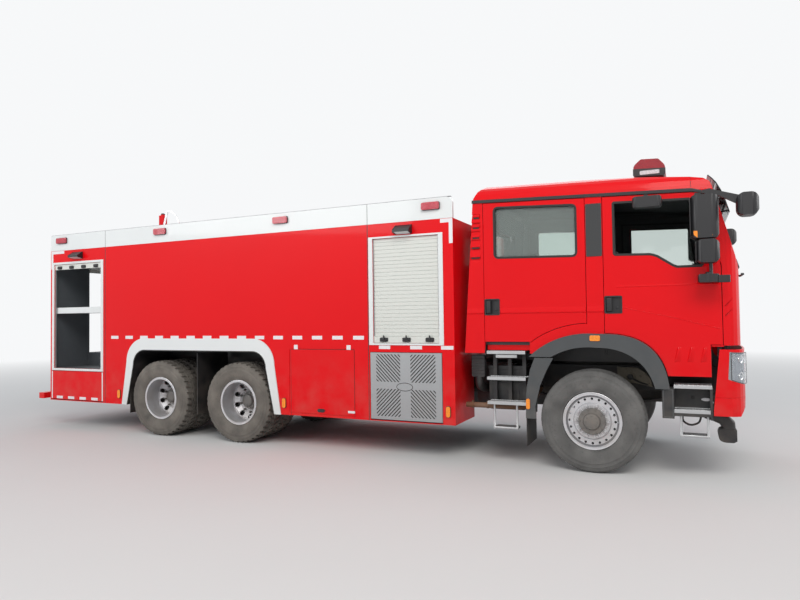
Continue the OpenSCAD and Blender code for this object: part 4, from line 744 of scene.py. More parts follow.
def arch_line(r, reach, power, grow=0.0):
    """The front arch: an arc behind its peak, a squarer curve in front of it, down to each foot."""
    px, pz, cx, cz = 0.060, 0.700, -0.020, 0.555
    r += grow
    top = cz + math.sqrt(r ** 2 - (px - cx) ** 2) - pz
    a0, a1 = math.pi - math.asin((1.202 - cz) / r), math.acos((px - cx) / r)
    t1 = math.asin(((0.900 - pz) / top) ** (power / 2))
    back = [a0 + (a1 - a0) * i / 24 for i in range(25)]
    fore = [math.pi / 2 + (t1 - math.pi / 2) * i / 24 for i in range(1, 25)]
    return ([(cx + r * math.cos(a), cz + r * math.sin(a)) for a in back]
            + [(px + (reach + grow) * math.cos(t) ** (2 / power), pz + top * math.sin(t) ** (2 / power))
               for t in fore])


def door_outlines():
    """Outlines of the front and the rear door."""
    over = [p for p in arch_line(0.900, 0.700, 2.8, 0.008) if p[0] > 0.15 and p[1] > 1.03]
    front = over + [(1.130, 1.030), (1.130, 1.345), (1.235, 1.345), (1.235, 2.110), (1.074, 2.825),
                    (1.048, 2.844), (0.150, 2.877)]
    flare = [(-0.020 + 1.010 * math.cos(a), 0.555 + 1.010 * math.sin(a))
             for a in (2.211 - (2.211 - 1.5837) * i / 12 for i in range(13))]
    return front, [(-1.140, 1.365)] + flare + [(-0.033, 2.8835), (-1.140, 2.9236)]


def creases():
    """The raised crease along the cab's walls and rear doors."""
    for place, spans in (("cab", ((-1.338, -1.146), (-0.026, 0.144))), ("rear_door", ((-0.955, -0.040),))):
        for side, s in SIDES.items():
            root, ridge = s * (HALF_CAB - 0.001), s * (HALF_CAB + 0.0110)
            form = Form()
            for x0, x1 in spans:
                form.prism(0, [(root, 1.744), (ridge, 1.690), (ridge, 1.684), (root, 1.674)], x0, x1)
            body = "cab" if place == "cab" else f"{place}_{side}"
            form.done(f"{place}_crease_{side}", "red", body, sharp=0.9)


def pillar_vents():
    """Air vents of the rear pillar: raised lips, each over a dark strip of painted shade where its shadow
    falls.
    """
    lips, lip_shadows = Form(), Form()
    root, ridge = cab_skin(-0.001, 0.0105)
    for i in range(5):
        z, x = 2.770 - 0.1135 * i, -1.262 - 0.007 * i
        lip = [(root, 0.040), (ridge, 0.013), (ridge, 0.006), (root, 0.004)]
        lips.prism(0, [(y, z + rise) for y, rise in lip], x, -1.180)
        # Painted shade: a dark strip just under each lip, for its shadow
        lip_shadows.box((x + 0.008, -1.188), cab_skin(-0.001, 0.0030), (z - 0.012, z + 0.0045))
    lips.both().done("pillar_vent_lips", "red", "cab", 0.002, 0.9)
    lip_shadows.both().done("pillar_vent_painted_shade", "rubber", "cab")


def door_ribs():
    """Three slanted ribs and the faint line above them on each front door."""
    for side, s in SIDES.items():
        root, ridge = s * (HALF_CAB - 0.001), s * (HALF_CAB + 0.011)
        form = Form()
        for x in (0.806 + 0.116 * i for i in range(3)):
            form.loft([[(x - 0.006, root, 1.174), (x + 0.004, ridge, 1.186), (x + 0.060, root, 1.174)],
                       [(x + 0.026, root, 1.320), (x + 0.036, ridge, 1.308), (x + 0.076, root, 1.318)]])
        line = [(0.330, root, 1.722), (0.800, s * (HALF_CAB - 0.0005), 1.615), (1.218, root, 1.500)]
        form.tube(line, 0.0045, 8)
        form.done(f"front_door_ribs_{side}", "red", f"front_door_{side}", sharp=0.9)


def cab_sides():
    """Door seals, sills under the crew doors and the plates of the wheelhouses."""
    form = Form()
    for outline in door_outlines():
        form.band(1, inset(outline, -0.008), 0.024, 1.0785, 1.0885)
    form.both().done("door_seals", "rubber", "cab", 0.002)
    sill = Form().box((-1.133, -0.640), (1.071, 1.083), (1.268, 1.3275))
    sill.both().done("cab_sills", "red", "cab", 0.003)
    form = Form().prism(1, WHEELHOUSE, 0.600, 0.606)
    for x in (-1.05, -0.78, -0.30, 0.10, 0.48):
        form.box(about(x, 0.012), (0.594, 0.612), (1.205, 1.3275))
    form.both().done("wheelhouse_plates", "black", "cab", 0.002)


def light_bar():
    repaint("light_bar", "black", lambda x, y, z, n: z < 3.2245 and abs(n.y) < 0.5)
    form = Form()
    for y in (-0.763, -0.385, -0.008, 0.369, 0.747):
        form.prism(1, LIGHT_BAR_END, y, y + 0.016)
    form.done("light_bar_bands", "black", "cab", 0.002)
    form = Form()
    for y in (-0.58, -0.195, 0.195, 0.58):
        form.pad(0, about(y, 0.15), (3.150, 3.198), (0.748, 0.759), 0.012)
        form.pad(0, about(y, 0.15), (3.165, 3.212), (0.4325, 0.441), 0.012)
    for s in (-1, 1):
        form.pad(1, (0.50, 0.70), (3.150, 3.196), on_side(s, 0.756, 0.7635), 0.014)
    form.done("light_bar_lamps", "lamp", "cab", 0.003)


def mirror_parts():
    """Glasses, repeater, bezels and clamps of each door's mirrors, and the front half of its kerb mirror."""
    x, y = NOSE - 0.216, 1.350
    for side, s in SIDES.items():
        body = f"front_door_{side}"
        form = Form().pad(0, on_side(s, 1.264, 1.446), (2.386, 2.736), (x - 0.2420, x - 0.2385), 0.03)
        form.pad(0, on_side(s, 1.284, 1.438), (2.148, 2.324), (x - 0.1980, x - 0.1945), 0.03)
        form.done(f"mirror_glasses_{side}", "mirror", body, 0.001)
        form = Form().prism(1, rounded(REPEATER, 0.010, 3), *on_side(s, 1.450, 1.4599))
        form.done(f"mirror_repeater_{side}", "amber", body)
        form = Form()
        for a, b, z, back in ((1.2505, 1.4595, (2.3725, 2.7495), 0.2440),
                              (1.2705, 1.4515, (2.1345, 2.3375), 0.2000)):
            form.border(0, (s * a, s * b), z, (x - back, x - back + 0.0075), 0.036, 0.015)
        for z in (2.40, 2.74, 2.20, 2.32):
            form.turned((x - 0.072, s * y, z - 0.017), (0, 0, 1), [(0.026, 0), (0.026, 0.034)], 16)
        form.turned((x - 0.088, s * y, 1.972), (0, 0, 1),
                    [(0.034, -0.02), (0.034, 0.062), (0.024, 0.070)], 20)
        kerb = [(-0.016, 1.302), (0.082, 1.312), (0.090, 1.385), (-0.016, 1.398)]
        form.prism(2, rounded([(x + ahead, s * out) for ahead, out in kerb], 0.022), 1.938, 2.006)
        form.done(f"mirror_clamps_{side}", "black", body, 0.003)


# Seats

CUSHION_STEPS = 14
SEAT_FLOOR_Z = 1.360


def cushion(centre, size, crown, tilt):
    """A crowned pad whose faces bulge between pulled-in edges: its points, its faces and its middle edge."""
    sx, sy, sz = (v / 2 for v in size)
    steps, row = CUSHION_STEPS, CUSHION_STEPS + 1
    verts, faces = [], []
    turn = Matrix.Rotation(tilt, 3, "Y")
    for top in (-1, 1):
        for i in range(row):
            for j in range(row):
                u, v = (math.copysign(abs(w) ** 0.75, w) for w in (i / steps * 2 - 1, j / steps * 2 - 1))
                dome = (1 - abs(u) ** 4.0) * (1 - abs(v) ** 4.0)
                pull = 1 - 0.035 * (1 - dome)
                channel = 0.010 * math.exp(-((abs(v) - 0.62) / 0.045) ** 2) * dome
                round_off = 1 - 0.10 * (abs(u) * abs(v)) ** 3
                z = top * ((sz - crown) * (0.30 + 0.70 * min(1.0, dome * 3.0)) + crown * dome - channel)
                verts.append(turn @ Vector((sx * u * pull * round_off, sy * v * pull * round_off, z))
                             + Vector(centre))

    def at(top, i, j):
        return top * row * row + i * row + j
    for i in range(steps):
        for j in range(steps):
            faces.append([at(0, i, j), at(0, i, j + 1), at(0, i + 1, j + 1), at(0, i + 1, j)])
            faces.append([at(1, i, j), at(1, i + 1, j), at(1, i + 1, j + 1), at(1, i, j + 1)])
    rim = ([(i, 0) for i in range(steps)] + [(steps, j) for j in range(steps)]
           + [(i, steps) for i in range(steps, 0, -1)] + [(0, j) for j in range(steps, 0, -1)])
    for a, b in zip(rim, rim[1:] + rim[:1]):
        faces.append([at(0, *a), at(0, *b), at(1, *b), at(1, *a)])
    return verts, faces, [(verts[at(0, *p)] + verts[at(1, *p)]) / 2 for p in rim]


def seats():
    """Seat, back and headrest cushions with piping, on bellows bases."""
    covers, piping, bases = Form(), Form(), Form()
    z, lean = SEAT_FLOOR_Z, math.pi / 2 - 0.06
    for x, y in [(0.260, y) for y in (-0.64, 0.64)] + [(-1.130, y) for y in (-0.75, -0.25, 0.25, 0.75)]:
        for centre, size, crown, tilt in (
                ((x + 0.240, y, z + 0.290), (0.46, 0.470, 0.15), 0.022, -0.03),
                ((x - 0.030, y, z + 0.640), (0.58, 0.470, 0.125), 0.018, lean),
                ((x - 0.052, y, z + 0.905), (0.17, 0.270, 0.105), 0.014, lean)):
            verts, faces, edge = cushion(centre, size, crown, tilt)
            covers.add(verts, faces)
            piping.loft([circle(p, edge[(i + 1) % len(edge)] - edge[i - 1], 0.005, 0, 6)
                         for i, p in enumerate(edge)], True)
        bases.pad(2, (x + 0.04, x + 0.40), about(y, 0.18), (z, z + 0.05), 0.02)
        for k in range(5):
            fold = 0.004 * (k % 2)
            bases.pad(2, (x + 0.07 + fold, x + 0.37 - fold), about(y, 0.15),
                      (z + 0.05 + k * 0.033, z + 0.08 + k * 0.033), 0.03)
        bases.pad(0, about(y, 0.20), (z + 0.25, z + 0.55), (x - 0.088, x - 0.075), 0.03)
        bases.pad(2, (x + 0.02, x + 0.44), about(y, 0.21), (z + 0.20, z + 0.222), 0.02)
    obj = covers.done("seat_cushions", "cloth", "cab", sharp=1.2)
    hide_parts("seats")
    piping.done("seat_piping", "rubber", "cab", sharp=1.2)
    bases.done("seat_bases", "black", "cab", 0.004)


# Body

# Laid-on marks and joint lines, from inside to outside the skin
TAPE = (-0.001, 0.0012)
SEAM = (-0.001, 0.0004)
ARCH_FOOT_Z = 0.421
TANK_LENGTH = 4.490


def marks():
    """White reflective dashes, squares and corner tapes laid on the body's skin."""
    form, tape = Form(), body_skin(*TAPE)
    for i in range(15):
        form.prism(1, corners(about(-6.856 + i * 0.2965, 0.075), (1.388, 1.433)), *tape)
    for x in (-2.353, -1.944, -1.558):
        form.box(about(x, 0.075), tape, (1.276, 1.318))
    for x in (-3.617, -2.845):
        form.box(about(x, 0.028), body_skin(-0.001, 0.0016), (1.262, 1.318))
    for x, way, arm in ((BODY_FRONT - 0.002, -1, 0.150), (BODY_REAR + 0.012, 1, 0.300)):
        form.box(sorted((x, x + way * 0.045)), tape, (2.49, 2.776))
        form.box(sorted((x + way * 0.045, x + way * arm)), tape, (2.731, 2.776))
    form.both().done("white_marks", "mark")
    for side, s in SIDES.items():
        form, tape = Form(), body_skin(*TAPE, s)
        for x in (-8.247, -7.122):
            form.box(about(x, 0.011), tape, (0.447, 0.878))
        for x in (-8.07, -7.81, -7.55, -7.29):
            form.box(about(x, 0.07), tape, (0.450, 0.490))
        form.done(f"flap_marks_{side}", "mark", f"rear_step_flap_{side}")


def body_joints():
    """Slot handle of the access door, and the joint lines between the body's sections."""
    form = Form().pad(1, (-3.296, -3.196), (0.478, 0.522), body_skin(-0.001, 0.006), 0.020)
    for x in (-3.30, -3.19):
        form.turned((x, SKIN, 0.50), (0, 1, 0), [(0.006, 0), (0.006, 0.004), (0.004, 0.006)], 12)
    for x in (FRONT_JOINT, REAR_JOINT):
        form.box(about(x, 0.005), (HALF_BODY - 0.010, SKIN + 0.0006), (0.425, DECK_Z - 0.002))
        form.box(about(x, 0.003), (HALF_BODY - 0.002, SKIN + 0.0006), (DECK_Z - 0.001, 3.028))
    form.both().done("access_door_handles", "black", edge=0.001)


def work_lamps():
    """Lens in a black wedge, over each locker."""
    lenses, cases = Form(), Form()
    y, z = SKIN, DECK_Z - 0.090
    lens_end = [(y + 0.006, z - 0.058), (y + 0.092, z - 0.0385), (y + 0.092, z - 0.0345),
                (y + 0.006, z - 0.050)]
    cheek = [(y, z - 0.058), (y, z + 0.056), (y + 0.099, z - 0.010), (y + 0.099, z - 0.040)]
    brow = [(y + 0.087, z - 0.018), (y + 0.098, z - 0.012), (y + 0.100, z - 0.038), (y + 0.088, z - 0.038)]
    for x in (FRONT_JOINT + 0.485, REAR_JOINT - 0.600):
        lenses.prism(0, lens_end, *about(x, 0.088))
        for end in (x - 0.108, x + 0.104):
            cases.prism(0, cheek, end, end + 0.004)
        cases.prism(0, brow, *about(x, 0.106))
    lenses.both().done("work_lamp_lenses", "lamp", edge=0.001)
    cases.both().done("work_lamp_cases", "black", edge=0.0015)


def side_lamps():
    """Ribbed lenses and bezels of the strobes on the parapets, and bezels of the low side markers."""
    ribs, bezels = Form(), Form()
    z = DECK_Z + 0.155
    for x in (BODY_FRONT - 0.265, FRONT_JOINT - 1.267, REAR_JOINT + 1.125, BODY_REAR + 0.270):
        bezels.border(1, about(x, 0.114), about(z, 0.047), body_skin(0, 0.012), 0.022, 0.009)
        for k in range(9):
            rib_x = about(x - 0.092 + k * 0.023, 0.009)
            ribs.pad(1, rib_x, about(z, 0.034), body_skin(0.033, 0.0365), 0.006, 3)
    ribs.both().done("strobe_ribs", "strobe", edge=0.001)
    bezels.both().done("strobe_bezels", "black", edge=0.002)
    form = Form()
    for x in (BODY_FRONT - 0.084, MIDDLE_X + 0.775, REAR_X - 0.785):
        form.border(1, about(x, 0.029), (0.506, 0.636), body_skin(0, 0.010), 0.028, 0.007)
    form.both().done("marker_bezels", "black", edge=0.0015)


def step_panels():
    """Aluminium tread faces of the front step panels: bars between slanted slots, over a dark sheet of
    painted shade that shows in the slots.
    """
    low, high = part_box("step_flap_front_right")
    x0, x1 = low.x - AXLE + 0.021, high.x - AXLE - 0.021
    z0, z1 = low.z + 0.020, high.z - 0.003
    mx, mz = (x0 + x1) / 2, (z0 + z1) / 2
    bars, ground = Form(), Form()
    skin, shade_sheet_y = body_skin(0.0002, 0.0022), body_skin(-0.0010, 0.0006)
    # Size of a slotted quarter, half the plain strips between them, and the pitch and width of the slots
    wide, tall, gap_x, gap_z, pitch, slot = 0.315, 0.325, 0.066, 0.042, 0.0450, 0.0180
    for x in ((x0, mx - gap_x - wide), about(mx, gap_x), (mx + gap_x + wide, x1)):
        bars.box(x, skin, (z0, z1))
    for x in ((mx - gap_x - wide, mx - gap_x), (mx + gap_x, mx + gap_x + wide)):
        for z in ((z0, mz - gap_z - tall), about(mz, gap_z), (mz + gap_z + tall, z1)):
            bars.box(x, skin, z)
    for sx in (-1, 1):
        for sz in (-1, 1):
            x = sorted((mx + sx * gap_x, mx + sx * (gap_x + wide)))
            z = sorted((mz + sz * gap_z, mz + sz * (gap_z + tall)))
            quarter, lean = corners(x, z), -sx * sz
            # Painted shade: a dark sheet behind each slotted quarter, for the shadow inside the slots
            ground.box(x, shade_sheet_y, z)
            first = min(p[0] + lean * p[1] for p in quarter)
            for i in range(16):
                at = first - 0.010 + i * pitch
                bar = clipped(clipped(quarter, lean, at, 1), lean, at + pitch - slot, -1)
                if len(bar) > 2:
                    bars.prism(1, bar, *skin)
    for side, s in SIDES.items():
        # The dark ground pieces are painted shade, seen through the slots
        for form, name, look in ((bars, "tread", "panel"), (ground, "ground", "rubber")):
            copy = Form().add([(v.x, s * v.y, v.z) for v in form.verts], form.faces)
            copy.done(f"step_panel_{name}_{side}", look, f"front_step_flap_{side}")


def access_door():
    """Outline and plate of the door ahead of the rear wheels, and the oval plate of the step panel."""
    form, door = Form(), (-3.695, -2.768)
    for x in door:
        form.box(about(x, 0.0018), body_skin(*SEAM), (0.432, 1.262))
    form.box(door, body_skin(*SEAM), (1.2602, 1.2638))
    form.both().done("access_door_seams", "rubber")
    plate = Form().pad(1, (-2.862, -2.766), (0.488, 0.516), body_skin(-0.001, 0.0018), 0.004)
    plate.both().done("access_door_tags", "mark", edge=0.0005)
    for side, s in SIDES.items():
        body, outline = f"front_step_flap_{side}", oval(-2.096, 0.833, 0.106, 0.050, 48)
        plate = Form().prism(1, outline, *body_skin(-0.002, 0.0034, s))
        plate.done(f"step_panel_plate_{side}", "panel", body, 0.001)
        rim = Form().band(1, outline, 0.007, *body_skin(0.002, 0.0044, s))
        rim.done(f"step_panel_rim_{side}", "black", body, 0.0005)


def arch_lips():
    """Black lining edge inside the white trim of the rear arch, from its rear foot to its front foot."""
    reach, slope, r, top, steps, lip_w = 0.625, 0.130, 0.220, 1.230, 12, 0.014
    x0, x1 = REAR_X - reach, MIDDLE_X + reach
    xr, xf, cz = x0 + slope + r, x1 - slope - r, top - r
    angles = [math.pi / 2 * i / steps for i in range(steps + 1)]
    inner = ([(x0, ARCH_FOOT_Z)] + [(xr - r * math.cos(a), cz + r * math.sin(a)) for a in angles]
             + [(xf + r * math.sin(a), cz + r * math.cos(a)) for a in angles] + [(x1, ARCH_FOOT_Z)])
    lip = inset(inner, lip_w)
    lip[0], lip[-1] = Vector((x0 + lip_w, ARCH_FOOT_Z)), Vector((x1 - lip_w, ARCH_FOOT_Z))
    form = Form()
    for a in range(len(inner) - 1):
        form.loft([[(inner[k][0], y, inner[k][1]) for y in (1.245, 1.262)]
                   + [(lip[k].x, y, lip[k].y) for y in (1.262, 1.245)] for k in (a, a + 1)])
    form.both().done("arch_lips", "rubber")


def shutter_parts():
    """Latches and side rails of the roller shutters."""
    form = Form()

    def latch(x, half, z, sink, grip, reach, grip_z):
        form.pad(1, about(x, half), z, body_skin(sink, 0.006), 0.014)
        form.tube([(x - grip, SKIN + 0.006, grip_z), (x - grip, SKIN + reach, grip_z),
                   (x + grip, SKIN + reach, grip_z), (x + grip, SKIN + 0.006, grip_z)], 0.005, 8)
    for x in (-2.36, -2.065, -1.77):
        latch(x, 0.052, (1.362, 1.412), -0.010, 0.036, 0.018, 1.380)
        hook = [(x - 0.010, 1.366), (x + 0.034, 1.366), (x + 0.030, 1.384), (x + 0.012, 1.384),
                (x + 0.006, 1.440), (x - 0.006, 1.440)]
        form.prism(1, hook, *body_skin(0.004, 0.014))
    for x in (-8.08, -7.81, -7.54, -7.27):
        latch(x, 0.045, (2.484, 2.532), -0.012, 0.030, 0.016, 2.498)
    form.both()
    for y in (-0.38, 0.0, 0.38):
        form.pad(0, about(y, 0.05), (2.492, 2.536), (BODY_REAR + 0.003, BODY_REAR + 0.012), 0.014)
    form.done("shutter_latches", "black", edge=0.0015)
    form = Form()
    front_z, rear_z = (1.35, 2.596), (0.93, 2.556)
    for x, z in ((-2.499, front_z), (-1.651, front_z), (-8.198, rear_z), (-7.152, rear_z)):
        form.box(about(x, 0.011), (1.2185, 1.2405), z)
    form.both()
    for y in (-0.578, 0.578):
        form.box((BODY_REAR + 0.006, BODY_REAR + 0.030), about(y, 0.011), (1.14, 2.55))
    form.done("shutter_rails", "panel", edge=0.001)


def pump_panel():
    """Gauges, switches, levers and caps on the pump in the rear opening."""
    face, back = BODY_REAR + 0.322, (-1, 0, 0)
    plate, dark, bright, dial = Form(), Form(), Form(), Form()
    # Gauges with their ticks and needles
    for y, z, r in ((-0.27, 1.66, 0.052), (-0.12, 1.66, 0.052), (0.03, 1.66, 0.040), (0.14, 1.66, 0.040)):
        at = (face, y, z)
        bright.hoop(at, back, [(r, 0), (r, 0.016), (r - 0.008, 0.018), (r - 0.008, 0)], 32)
        dial.turned(at, back, [(r - 0.008, 0.001), (r - 0.008, 0.008)], 32)
        for a in (math.radians(225 - k * 33.75) for k in range(9)):
            dark.box((face - 0.0095, face - 0.0075), about(y - math.cos(a) * (r - 0.014), 0.0015),
                     about(z + math.sin(a) * (r - 0.014), 0.0015))
        dark.turned((face - 0.0075, y, z), back, [(0.006, 0), (0.004, 0.004)], 12)
        needle = (r - 0.018) * 0.7
        dark.tube([(face - 0.0095, y, z), (face - 0.0095, y + needle, z + needle)], 0.0015, 6)
    plate.pad(0, (-0.355, 0.355), (1.465, 1.755), (face - 0.004, face + 0.001), 0.02)
    # Levers, then lamps and a switch plate
    for y in (-0.29 + i * 0.085 for i in range(6)):
        bright.turned((face, y, 1.535), back, [(0.020, 0.002), (0.020, 0.014), (0.013, 0.018)], 20)
        dark.tube([(face - 0.016, y, 1.535), (face - 0.034, y, 1.515), (face - 0.040, y, 1.490)], 0.006, 8)
        dark.turned((face - 0.040, y, 1.494), (0, 0, -1), [(0.009, 0), (0.011, 0.012), (0.009, 0.022)], 12)
    for i in range(4):
        bright.turned((face, 0.22 + 0.035 * (i % 2), 1.63 + 0.05 * (i // 2)), back,
                      [(0.009, 0.002), (0.009, 0.010), (0.006, 0.013)], 12)
    dark.pad(0, (0.215, 0.335), (1.50, 1.59), (face - 0.016, face), 0.01)
    # Caps of the outlets and the inlet, with lugs
    for y, z, r, length in ((-0.25, 1.330, 0.051, 0.120), (0.25, 1.330, 0.051, 0.120),
                            (0.0, 1.290, 0.081, 0.140)):
        tip = face - length
        bright.hoop((tip, y, z), back, [(r + 0.003, -0.034), (r + 0.007, -0.030), (r + 0.007, -0.006),
                                        (r + 0.002, -0.001), (r - 0.019, -0.001), (r - 0.019, -0.034)], 40)
        for a in (math.radians(90 + 120 * k) for k in range(3)):
            lug = (tip, y + math.cos(a) * (r + 0.003), z + math.sin(a) * (r + 0.003))
            bright.turned(lug, back, [(0.011, -0.030), (0.011, -0.006)], 10)
        bright.hoop((face, y, z), back, [(r + 0.020, -0.001), (r + 0.020, 0.012), (r - 0.006, 0.014),
                                         (r - 0.006, -0.001)], 40)
        bright.nuts((face - 0.010, y, z), back, r + 0.012, 8, 0.005, 0.005)
    plate.done("pump_panel_plate", "panel", edge=0.001)
    bright.done("pump_panel_fittings", "chrome", edge=0.001)
    dark.done("pump_panel_controls", "black", edge=0.001)
    dial.done("pump_panel_dials", "mark", edge=0.001)


def deck():
    """Fittings of the three hatches, kick plates inside the parapets and strips on top of them."""
    form, up = Form(), (0, 0, 1)
    for x in (FRONT_JOINT - TANK_LENGTH * share for share in (0.163, 0.408, 0.653)):
        form.nuts((x, 0, DECK_Z + 0.0705), up, 0.255, 12, 0.010, 0.009)
        grip = [(x - 0.09, 0.068), (x - 0.09, 0.110), (x + 0.09, 0.110), (x + 0.09, 0.068)]
        form.tube(route([(px, 0, DECK_Z + rise) for px, rise in grip], 0.025), 0.008, 10)
        form.hoop((x, 0, DECK_Z), up, [(0.296, 0.001), (0.296, 0.016), (0.262, 0.020), (0.262, 0.001)], 48)
    form.done("hatch_fittings", "alu", edge=0.001)
    form = Form()
    for s in (-1, 1):
        form.box((BODY_REAR + 0.03, BODY_FRONT - 0.10), on_side(s, 1.196, 1.208),
                 (DECK_Z + 0.001, DECK_Z + 0.09))
        form.box((BODY_REAR + 0.02, BODY_FRONT - 0.02), on_side(s, 1.2055, 1.2515), (3.0305, 3.0325))
    form.done("deck_kick_plates", "panel", edge=0.001)


def monitor_parts():
    """Bolts of the monitor's base, caps of its turret and rings of its pipe."""
    x, z = REAR_JOINT + 0.010, DECK_Z + 0.440
    form = Form().nuts((x, 0, DECK_Z + 0.0225), (0, 0, 1), 0.125, 12, 0.010, 0.012)
    form.nuts((x, 0, DECK_Z + 0.2295), (0, 0, -1), 0.086, 8, 0.007, 0.008)
    form.done("monitor_base_bolts", "chrome", edge=0.0008)
    form = Form()
    for s in (-1, 1):
        form.turned((x, s * 0.110, z), (0, s, 0), [(0.047, 0.0), (0.047, 0.008), (0.040, 0.012)], 24)
        form.nuts((x, s * 0.121, z), (0, s, 0), 0.030, 6, 0.006, 0.005)
    form.turned((x - 0.119, 0, z + 0.2425), (0, 0, 1), [(0.036, 0), (0.036, 0.010), (0.022, 0.024)], 24)
    form.done("monitor_turret_caps", "black", "monitor_turret", 0.001)
    form = Form()
    for d in (0.11, 0.24, 0.37):
        form.hoop((x + d, 0, z), (1, 0, 0),
                  [(0.0495, 0), (0.056, 0.004), (0.056, 0.022), (0.0495, 0.026)], 32)
    form.hoop((x + 0.5405, 0, z), (1, 0, 0),
              [(0.0665, -0.030), (0.069, -0.026), (0.069, -0.004), (0.064, 0.000), (0.040, 0.000),
               (0.040, -0.030)], 32)
    form.done("monitor_pipe_rings", "chrome", "monitor_pipe", 0.001)


def rear_lamps():
    form = Form()
    for s in (-1, 1):
        for y in (0.78, 0.88, 0.98):
            form.border(0, about(s * y, 0.049), (0.596, 0.694),
                        (BODY_REAR - 0.0225, BODY_REAR - 0.0003), 0.012, 0.006)
    form.done("rear_lamp_bezels", "black", edge=0.001)
    form = Form()
    for y in (-1.0, -0.5, 0.5, 1.0):
        form.turned((BODY_REAR - 0.295, y, 0.475), (-1, 0, 0),
                    [(0.030, 0), (0.030, 0.0046), (0.024, 0.0048)], 24)
    form.done("rear_reflectors", "red_lens")


# Headlamps: plan of the bumper's corner as y and x pairs

LAMP_PLAN = [(0.885, 1.4435), (1.040, 1.4165), (1.098, 1.3985), (1.144, 1.3725), (1.1700, 1.3385),
             (1.182, 1.300)]
# Each pair of bowls: y, x, the direction it faces and its radius
BOWLS = ((0.945, 1.434, 0.99, 0.14, 0.046), (1.050, 1.4145, 0.96, 0.28, 0.044),
         (1.128, 1.383, 0.85, 0.53, 0.038))


def headlamps():
    """Reflector bowls behind a clear cover that follows the bumper's corner."""
    def span(x):
        return 1.014 + 0.006 - (x - 1.270) * 0.365, 1.276 - 0.006 - (x - 1.286) * 0.066
    bowls, bulbs, cover, rim = Form(), Form(), Form(), Form()
    for y, x, dx, dy, r in BOWLS:
        low, high = span(x)
        for z in (high - r - 0.018, low + r + 0.030):
            way = Vector((dx, dy, 0))
            at = Vector((x, y, z)) - way.normalized() * 0.012
            bowls.hoop(at, way, [(r, 0.0), (r, 0.0135), (r - 0.004, 0.0135), (r * 0.55, 0.004),
                                 (0.008, 0.001), (0.008, 0.0)], 32)
            bulbs.turned(at, way, [(0.008, 0.0), (0.010, 0.008), (0.006, 0.014), (0.002, 0.015)], 16)
    outer, inner = [], []
    for i, (y, x) in enumerate(LAMP_PLAN):
        a, b = LAMP_PLAN[max(i - 1, 0)], LAMP_PLAN[min(i + 1, len(LAMP_PLAN) - 1)]
        n = Vector((b[0] - a[0], -(b[1] - a[1]))).normalized()
        for ring, d in ((outer, 0.0028), (inner, 0.0012)):
            ring.append((x + n.x * d, y + n.y * d, *span(x)))
    cover.loft([[(o[0], o[1], o[2]), (o[0], o[1], o[3]), (k[0], k[1], k[3]), (k[0], k[1], k[2])]
                for o, k in zip(outer, inner)])
    for k in (2, 3):
        rim.tube([(o[0] - 0.002, o[1], o[k]) for o in outer], 0.0035, 8)
    for o in (outer[0], outer[-1]):
        rim.tube([(o[0] - 0.002, o[1], o[2]), (o[0] - 0.002, o[1], o[3])], 0.0035, 8)
    bowls.both().done("headlamp_bowls", "chrome", sharp=0.7)
    bulbs.both().done("headlamp_bulbs", "lamp", sharp=0.9)
    cover.both().done("headlamp_covers", "clear", sharp=0.9)
    rim.both().done("headlamp_rims", "black")


# Steps, bumper and frame parts

FRONT_STEP_X, CREW_STEP_X = (0.790, 1.132), (-1.125, -0.690)
# Every tread: its x span, depth and height
TREADS = ([(FRONT_STEP_X, 0.181, 0.698), (FRONT_STEP_X, 0.200, 0.940)]
          + [(CREW_STEP_X, 0.160, z) for z in (0.697, 0.968, 1.258)])
HOLE_RING = [(0.0128, -0.004), (0.0215, -0.001), (0.0180, 0.0045), (0.0128, 0.006)]
PIPE_Z = 0.632
NOZZLE_Y = (0.832, 0.968)
# Elbow of the nozzle: x, z, radius and turn of each section
NOZZLE_ELBOW = [(1.060, 0.640, 0.045, 0.0), (1.135, 0.628, 0.052, -0.15), (1.225, 0.600, 0.060, -0.55),
                (1.272, 0.548, 0.066, -1.15), (1.268, 0.505, 0.070, -1.60)]
NOZZLE_MOUTH = [(1.176, 0.470), (1.192, 0.508), (1.320, 0.508), (1.338, 0.490), (1.338, 0.385),
                (1.320, 0.371), (1.230, 0.371), (1.188, 0.392)]
BRACKET = [(0.205, 1.068), (0.212, 0.960), (0.262, 0.905), (0.400, 0.890), (0.570, 0.855), (0.556, 0.930),
           (0.505, 1.005), (0.425, 1.060)]
BRACKET_BOLTS = ((0.232, 1.045), (0.300, 1.045), (0.376, 1.043), (0.498, 0.985), (0.447, 0.965),
                 (0.532, 0.885))


def teeth(form, x, y, z, count):
    """Saw edge along the outer rim of a tread."""
    pitch = (x[1] - x[0]) / count
    for i in range(count):
        a = x[0] + pitch * (i + 0.12)
        tooth = [(y, z - 0.001), (y + 0.010, z - 0.001), (y + 0.008, z + 0.006), (y + 0.002, z + 0.006)]
        form.prism(0, tooth, a, a + pitch * 0.76)


def step_treads():
    """Saw teeth, ringed holes and buttons of every tread."""
    treads, buttons, up = Form(), Form(), (0, 0, 1)
    for x, depth, z in TREADS:
        low, high = HALF_CAB - depth, HALF_CAB - 0.004
        teeth(treads, x, high - 0.014, z, 22)
        teeth(treads, x, low + 0.004, z, 22)
        for i in range(1, 8):
            for j in (1, 2):
                centre = (x[0] + (x[1] - x[0]) * i / 8, low + (high - low) * (3 - j) / 3, z)
                buttons.hoop(centre, up, HOLE_RING, 16)
        for i in range(8):
            centre = (x[0] + (x[1] - x[0]) * (i + 0.5) / 8, (low + high) / 2, z)
            buttons.turned(centre, up, [(0.010, -0.001), (0.007, 0.005), (0.003, 0.006)], 12)
        treads.box(x, (high - 0.001, high + 0.0035), (z - 0.030, z + 0.001))
    treads.both().done("tread_teeth", "alu", edge=0.0008)
    buttons.both().done("tread_buttons", "alu", sharp=0.9)


